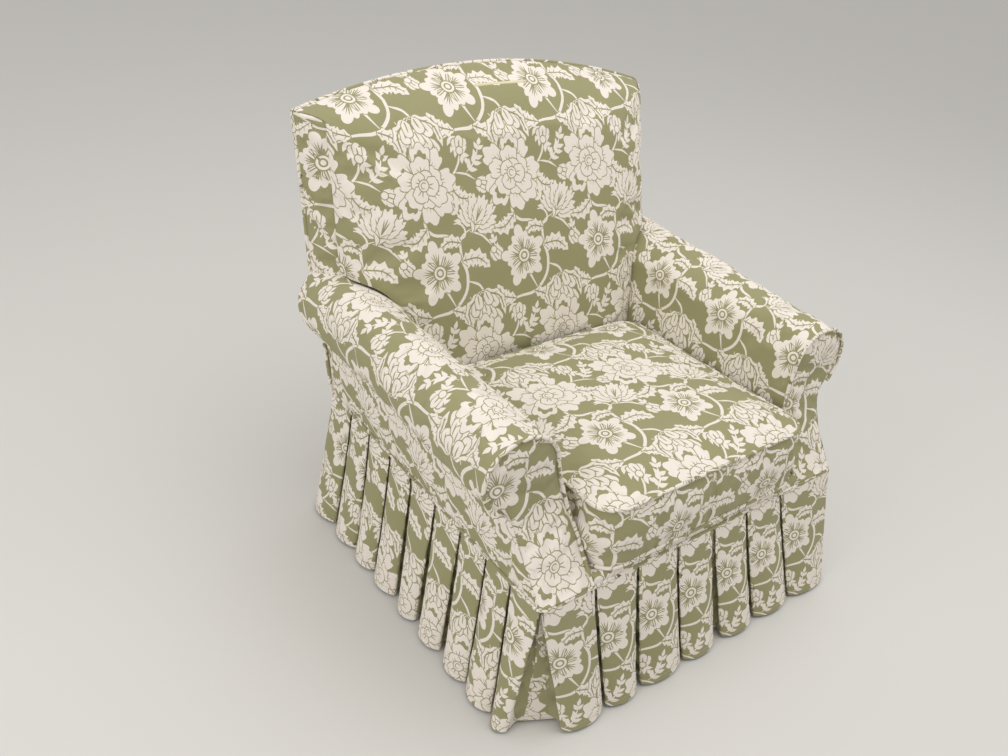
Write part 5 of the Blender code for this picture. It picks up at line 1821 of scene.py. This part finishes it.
class CHAIR_OT_skirt(bpy.types.Operator):
    """Hangs the pleated skirt, one length for each side, with its hem stitches"""
    bl_idname = "chair.skirt"
    bl_label = "Pleated skirt"

    def execute(self, context):
        rng = random.Random(17)
        offsets = {"front": (0.02, 0.06), "left": (0.11, 0.21), "back": (0.07, 0.35), "right": (0.055, 0.09)}
        corners = {"front": (3, 0), "left": (0, 1), "back": (1, 2), "right": (2, 3)}
        splays = {"front": (-0.046, 0.036), "left": (0.030, 0.026),
                  "back": (0.026, 0.026), "right": (0.026, -0.012)}
        for name in SIDES:
            pleats = skirt_pleats(name, rng)
            rows = []
            for drop in SKIRT_LEVELS:
                hearts = skirt_hearts(drop, (False, False, False, True))
                ends = [hearts[corners[name][0]], hearts[corners[name][1]]]
                rows.append(rounded_line(skirt_line(name, pleats, splays[name], drop, ends)))
            middle = along_line(rows[9])
            zs = SKIRT_TOP - 0.002 - SKIRT_DROP * SKIRT_LEVELS
            vs = SKIRT_DROP * 1.01 * (1.0 - SKIRT_LEVELS)
            grid = np.stack([np.column_stack([row, np.full(len(row), z)])
                             for row, z in zip(rows, zs)], axis=1)
            surface = Surface(middle, vs[::-1], grid[:, ::-1])
            surface.ripple(0.0010, 0.07, 61 + len(name))
            width = float(middle[-1])
            outline = np.array([(0.0, 0.0), (width, 0.0), (width, vs[0]), (0.0, vs[0])])
            folds = [[(u, 0.0), (u, float(vs[0]))] for u in spaced(middle[1:-1], 0.0055)]
            cloth = new_cloth()
            cloth.add(outline, surface, at=offsets[name], step=(0.016, 0.014), lines=folds)
            made = cloth.make(f"skirt_{name}_cloth", cotton())
            piece = finish_piece(made, "chair", "cloth", f"skirt_{name}")
            us = np.linspace(0.002, width - 0.002, 900)
            places, normals = surface(np.column_stack([us, np.full_like(us, HEM_STITCH)]))
            row_piece(f"hem_stitches_{name}", [places + normals * 0.0003], "stitches", 0.0042,
                      (0.0009, 0.0009, 0.0030), shared("thread", thread), "chair", "cloth")
        return {"FINISHED"}


# Hidden parts

def soft_copy(name, node, voxel, smooth, material):
    """A rounded copy of a pad's solid."""
    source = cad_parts[node]
    mesh = source.data.copy()
    made = bpy.data.objects.new(name, mesh)
    bpy.context.scene.collection.objects.link(made)
    mesh.materials.clear()
    mesh.materials.append(material)
    weld = made.modifiers.new("weld", "WELD")
    weld.merge_threshold = 1e-5
    remesh = made.modifiers.new("remesh", "REMESH")
    remesh.mode = "VOXEL"
    remesh.voxel_size = voxel
    remesh.use_smooth_shade = True
    relax = made.modifiers.new("relax", "SMOOTH")
    relax.iterations = smooth
    inset = made.modifiers.new("inset", "DISPLACE")
    inset.mid_level = 0.0
    inset.strength = -FOAM_INSET
    return made


def applied(piece):
    """The piece with its modifiers made part of its mesh."""
    depsgraph = bpy.context.evaluated_depsgraph_get()
    mesh = bpy.data.meshes.new_from_object(piece.evaluated_get(depsgraph))
    piece.modifiers.clear()
    piece.data = mesh
    return piece


def line_mesh(name, lines):
    """Open lines of points as one mesh of edges."""
    points, edges = [], []
    for line in lines:
        edges += [(len(points) + i, len(points) + i + 1) for i in range(len(line) - 1)]
        points += [(x, y + ORIGIN_Y, z) for x, y, z in line]
    mesh = bpy.data.meshes.new(name)
    mesh.from_pydata(points, edges, [])
    made = bpy.data.objects.new(name, mesh)
    bpy.context.scene.collection.objects.link(made)
    return made


def row_tree(kind):
    """A node tree that repeats a small body along lines, a set distance apart."""
    tree = bpy.data.node_groups.new(f"row_of_{kind}", "GeometryNodeTree")
    for name, socket in (("Geometry", "NodeSocketGeometry"), ("Spacing", "NodeSocketFloat"),
                         ("Size", "NodeSocketVector"), ("Material", "NodeSocketMaterial")):
        tree.interface.new_socket(name, in_out="INPUT", socket_type=socket)
    tree.interface.new_socket("Geometry", in_out="OUTPUT", socket_type="NodeSocketGeometry")

    def node(node_type, links, **settings):
        made = tree.nodes.new(node_type)
        for name, value in settings.items():
            setattr(made, name, value)
        for name, value in links.items():
            if isinstance(value, bpy.types.NodeSocket):
                tree.links.new(value, made.inputs[name])
            else:
                made.inputs[name].default_value = value
        return made

    given = node("NodeGroupInput", {}).outputs
    curve = node("GeometryNodeMeshToCurve", {"Mesh": given["Geometry"]})
    spots = node("GeometryNodeCurveToPoints",
                 {"Curve": curve.outputs[0], "Length": given["Spacing"]}, mode="LENGTH")
    if kind == "teeth":
        body = node("GeometryNodeMeshCube", {"Size": given["Size"]}).outputs["Mesh"]
    else:
        ball = node("GeometryNodeMeshUVSphere", {"Segments": 6, "Rings": 4, "Radius": 0.5})
        body = node("GeometryNodeTransform",
                    {"Geometry": ball.outputs["Mesh"], "Scale": given["Size"]}).outputs[0]
    rows = node("GeometryNodeInstanceOnPoints", {"Points": spots.outputs["Points"], "Instance": body,
                                                 "Rotation": spots.outputs["Rotation"]})
    real = node("GeometryNodeRealizeInstances", {"Geometry": rows.outputs[0]})
    painted = node("GeometryNodeSetMaterial", {"Geometry": real.outputs[0], "Material": given["Material"]})
    node("NodeGroupOutput", {"Geometry": painted.outputs[0]})
    return tree


def row_piece(name, lines, kind, spacing, size, material, body, slot):
    """A row of stitches, tacks or teeth along lines, made one mesh."""
    tree = shared(f"row_{kind}", row_tree, kind)
    made = line_mesh(name, lines)
    rows = made.modifiers.new("rows", "NODES")
    rows.node_group = tree
    given = {item.name: item.identifier for item in tree.interface.items_tree if item.in_out == "INPUT"}
    rows[given["Spacing"]] = spacing
    rows[given["Size"]] = size
    rows[given["Material"]] = material
    return finish_piece(applied(made), body, slot)


def thread():
    shader = Shader("sewing_thread", 0.7, Specular_IOR_Level=0.3)
    twist = shader.noise(shader.place(), 1500.0, 2.0)
    paint = shader.blend(twist, colour((168, 164, 122)), colour((206, 200, 172)))
    return shader.feed(Base_Color=paint, Normal=shader.bump(twist, 0.4, 0.0002))


class CHAIR_OT_fastenings(bpy.types.Operator):
    """Adds the zip's teeth and the tacks that hold the jute and the dust cover"""
    bl_idname = "chair.fastenings"
    bl_label = "Teeth and tacks"

    def execute(self, context):
        low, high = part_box("cushion_zip")
        along = np.linspace(low.x + 0.012, high.x - 0.004, 80)
        tape = cushion_point(along, CUSHION_LENGTH + 0.0028, 0.0 * along + 0.0565 - SEAM_SPACE)
        tape[:, 2] = (low.z + high.z) / 2
        tape[:, 1] = (low.y + high.y) / 2 + 0.0010 - ORIGIN_Y
        row_piece("zip_teeth", [tape], "teeth", 0.0022, (0.0030, 0.0016, 0.0012), shared("nickel", zip_metal),
                  "seat_cushion", "zip")
        low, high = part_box("back_burlap")
        xs = np.linspace(low.x + 0.010, high.x - 0.010, 60)
        bottom = low.y - ORIGIN_Y - rear_y(ARM_TOP + 0.008)
        lines = []
        for z in (low.z + 0.008, None):
            zs = np.full_like(xs, z) if z else high.z - 0.009 - BACK_ARCH * (xs / BACK_HALF_WIDTH) ** 2
            lines.append(np.column_stack([xs, rear_y(zs) + bottom + 0.0026, zs]))
        for x in (xs[0], xs[-1]):
            zs = np.linspace(low.z + 0.008, high.z - 0.009 - BACK_ARCH * (x / BACK_HALF_WIDTH) ** 2, 40)
            lines.append(np.column_stack([np.full_like(zs, x), rear_y(zs) + bottom + 0.0026, zs]))
        low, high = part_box("dust_cover")
        ys = (low.y - ORIGIN_Y + 0.008, high.y - ORIGIN_Y - 0.008)
        xs = (low.x + 0.008, high.x - 0.008)
        z = low.z - 0.0002
        round_it = ((0, 0), (1, 0), (1, 1), (0, 1), (0, 0))
        lines.append(np.array([(xs[i], ys[j], z) for i, j in round_it]))
        row_piece("lining_tacks", lines, "heads", 0.022, (0.0075, 0.0022, 0.0075),
                  shared("steel", spring_steel), "chair", "steel")
        return {"FINISHED"}


class CHAIR_OT_padding(bpy.types.Operator):
    """Fills the cushion, the arms, the back and the seat deck with foam"""
    bl_idname = "chair.padding"
    bl_label = "Padding"

    def execute(self, context):
        look = shared("foam", foam)
        pads = (("cushion_foam", "cushion_core", "seat_cushion"), ("back_foam", "back_pad", "chair"),
                ("deck_foam", "deck_pad", "chair"), ("arm_foam_left", "arm_pad_left", "chair"),
                ("arm_foam_right", "arm_pad_right", "chair"))
        for name, node, body in pads:
            piece = applied(soft_copy(name, node, 0.007, 6, look))
            finish_piece(piece, body, "padding", node)
        return {"FINISHED"}


def plain_sheet(name, us, vs, place, thickness, material):
    """An unprinted sheet of cloth on a surface, as a thin closed shell."""
    surface = Surface.placed(us, vs, place)
    front, normals = surface.points, surface.normals()
    rows, columns = front.shape[:2]
    points = np.vstack([front.reshape(-1, 3), (front - normals * thickness).reshape(-1, 3)])
    points[:, 1] += ORIGIN_Y
    number = np.arange(rows * columns).reshape(rows, columns)
    quads = grid_quads(number)
    rim = np.concatenate([number[:-1, 0], number[-1, :-1], number[:0:-1, -1], number[0, :0:-1]])
    behind = quads[:, ::-1] + rows * columns
    ahead = np.roll(rim, -1)
    walls = np.column_stack([rim + rows * columns, ahead + rows * columns, ahead, rim])
    mesh = bpy.data.meshes.new(name)
    mesh.from_pydata(points.tolist(), [], np.vstack([quads, behind, walls]).tolist())
    mesh.polygons.foreach_set("use_smooth", np.ones(len(mesh.polygons), bool))
    mesh.materials.append(material)
    made = bpy.data.objects.new(name, mesh)
    bpy.context.scene.collection.objects.link(made)
    return made


class CHAIR_OT_linings(bpy.types.Operator):
    """Stretches the jute over the back's frame and the dust cover under the seat"""
    bl_idname = "chair.linings"
    bl_label = "Jute and dust cover"

    def execute(self, context):
        jute = shared("jute", plain_weave, "jute_cloth", (150, 116, 70), (196, 166, 112), 0.0032)
        cambric = shared("cambric", plain_weave, "black_cambric", (24, 24, 26), (52, 52, 54), 0.0012)
        self.stretch("jute_lining", "back_burlap", "jute", jute, 1, ["back_post_left", "back_post_right"])
        self.stretch("cambric_lining", "dust_cover", "cambric", cambric, 2,
                     ["side_rail_left", "side_rail_right"])
        return {"FINISHED"}

    def stretch(self, name, node, slot, look, up, rests_on):
        """Lays a sheet in the middle of a node's solid, sampled from its mesh along one axis."""
        low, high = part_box(node)
        other = 3 - up if up == 2 else 2
        us = np.linspace(low.x + 0.0005, high.x - 0.0005, 40)
        spread = np.linspace(low[other] + 0.0005, high[other] - 0.0005, 40)
        flat = (low[up] + high[up]) / 2
        bottom = low.y - ORIGIN_Y - rear_y(ARM_TOP + 0.008)

        def place(u, v):
            if up == 2:
                return np.column_stack([u, v - ORIGIN_Y, np.full_like(u, flat)])
            arch = BACK_ARCH * (u / BACK_HALF_WIDTH) ** 2
            z = mix(low.z + 0.0005, high.z - 0.0008 - arch, (v - low.z) / (high.z - low.z))
            return np.column_stack([u, rear_y(z) + bottom + 0.0014, z])

        piece = plain_sheet(name, us, spread, place, 0.0009, look)
        finish_piece(piece, "chair", slot, node)


class CHAIR_OT_finishes(bpy.types.Operator):
    """Gives the wooden frame, the springs, the clips and the glides their wood and steel"""
    bl_idname = "chair.finishes"
    bl_label = "Wood and steel"

    def execute(self, context):
        wood = ("rail", "post", "stump", "leg_", "block")
        steel = ("seat_spring", "clip", "glide")
        for name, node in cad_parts.items():
            if any(word in name for word in wood) and "pad" not in name:
                set_material(node, shared("wood", beech))
            elif any(word in name for word in steel):
                set_material(node, shared("steel", spring_steel))
            elif name == "zip_slider":
                set_material(node, shared("nickel", zip_metal))
            elif name == "cushion_zip":
                set_material(node, shared("zip_tape", plain_weave, "zip_tape",
                                          (196, 190, 172), (224, 218, 202), 0.0008))
        return {"FINISHED"}


def set_material(node, material):
    for slot in node.material_slots:
        slot.material = material


# Stage

CAMERA_AT = (-1.0145, -0.7555, 1.3357)
CAMERA_TURN = (-45.8144, 32.9659, 9.6401)
CAMERA_LENS = 34.16
CAMERA_SHIFT = (-0.1234, 0.0170)


def camera_matrix():
    """The camera's place and turn: round the chair, above the horizon and rolled about its line of sight."""
    azimuth, elevation, roll = (math.radians(a) for a in CAMERA_TURN)
    back = Vector((math.sin(azimuth) * math.cos(elevation), -math.cos(azimuth) * math.cos(elevation),
                   math.sin(elevation)))
    right = (-back).cross(Vector((0.0, 0.0, 1.0))).normalized()
    up = right.cross(-back)
    across = right * math.cos(roll) + up * math.sin(roll)
    upright = up * math.cos(roll) - right * math.sin(roll)
    turn = Matrix((across, upright, back)).transposed().to_4x4()
    x, y, z = CAMERA_AT
    return Matrix.Translation((x, y + ORIGIN_Y, z)) @ turn


class CHAIR_OT_stage(bpy.types.Operator):
    """Sets the pale floor, the soft lamps and the camera"""
    bl_idname = "chair.stage"
    bl_label = "Stage"

    def execute(self, context):
        settings = context.scene.chair_stage
        size = 9.0
        mesh = bpy.data.meshes.new("floor")
        mesh.from_pydata([(-size, -size, 0.0), (size, -size, 0.0), (size, size, 0.0), (-size, size, 0.0)], [],
                         [(0, 1, 2, 3)])
        floor = bpy.data.objects.new("floor", mesh)
        context.scene.collection.objects.link(floor)
        shader = Shader("studio_floor", 0.75, Specular_IOR_Level=0.2)
        soft = shader.noise(shader.place(), 1.4, 2.0)
        pale = (*settings.floor, 1.0)
        paint = shader.blend(soft * 0.25, pale, tuple(c * 0.94 for c in settings.floor) + (1.0,))
        mesh.materials.append(shader.feed(Base_Color=paint))
        world = bpy.data.worlds.new("studio")
        world.use_nodes = True
        world.node_tree.nodes["Background"].inputs["Color"].default_value = (1.0, 0.985, 0.96, 1.0)
        world.node_tree.nodes["Background"].inputs["Strength"].default_value = settings.sky
        context.scene.world = world
        add_lamp("ceiling_lamp", (0.5, -0.5, 3.0), (0.0, 0.0, 0.4), 2.6, settings.ceiling)
        add_lamp("side_lamp", (-3.0, -0.2, 1.9), (0.0, 0.0, 0.4), 1.8, settings.side)
        camera = bpy.data.objects.new("camera", bpy.data.cameras.new("camera"))
        camera.data.sensor_width = 36.0
        camera.data.lens = CAMERA_LENS
        camera.data.shift_x, camera.data.shift_y = CAMERA_SHIFT
        camera.matrix_world = camera_matrix()
        context.scene.collection.objects.link(camera)
        context.scene.camera = camera
        context.scene.view_settings.view_transform = "Standard"
        return {"FINISHED"}


def add_lamp(name, place, target, size, power):
    lamp = bpy.data.lights.new(name, "AREA")
    lamp.shape = "SQUARE"
    lamp.size = size
    lamp.energy = power
    made = bpy.data.objects.new(name, lamp)
    made.location = place
    made.rotation_euler = (Vector(target) - Vector(place)).to_track_quat("-Z", "Y").to_euler()
    bpy.context.scene.collection.objects.link(made)


OPERATORS = (
    CHAIR_OT_inside_back, CHAIR_OT_outside_back, CHAIR_OT_arms, CHAIR_OT_arm_fronts, CHAIR_OT_cords,
    CHAIR_OT_cushion, CHAIR_OT_deck, CHAIR_OT_skirt, CHAIR_OT_padding, CHAIR_OT_linings,
    CHAIR_OT_fastenings, CHAIR_OT_finishes,
    CHAIR_OT_stage,
)


class CHAIR_PT_panel(bpy.types.Panel):
    bl_label = "Easy chair"
    bl_idname = "CHAIR_PT_panel"
    bl_space_type = "VIEW_3D"
    bl_region_type = "UI"
    bl_category = "Easy chair"

    def draw(self, context):
        for settings in (context.scene.chair_cloth, context.scene.chair_stage):
            for name in settings.__annotations__:
                self.layout.prop(settings, name)
        for operator in OPERATORS:
            self.layout.operator(operator.bl_idname)


CLASSES = (ClothSettings, StageSettings, *OPERATORS, CHAIR_PT_panel)


def register():
    for item in CLASSES:
        bpy.utils.register_class(item)
    bpy.types.Scene.chair_cloth = bpy.props.PointerProperty(type=ClothSettings)
    bpy.types.Scene.chair_stage = bpy.props.PointerProperty(type=StageSettings)


def unregister():
    del bpy.types.Scene.chair_stage
    del bpy.types.Scene.chair_cloth
    for item in reversed(CLASSES):
        bpy.utils.unregister_class(item)


def main():
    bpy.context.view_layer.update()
    register()
    for operator in OPERATORS:
        category, name = operator.bl_idname.split(".")
        getattr(getattr(bpy.ops, category), name)()


if __name__ == "__main__":
    main()
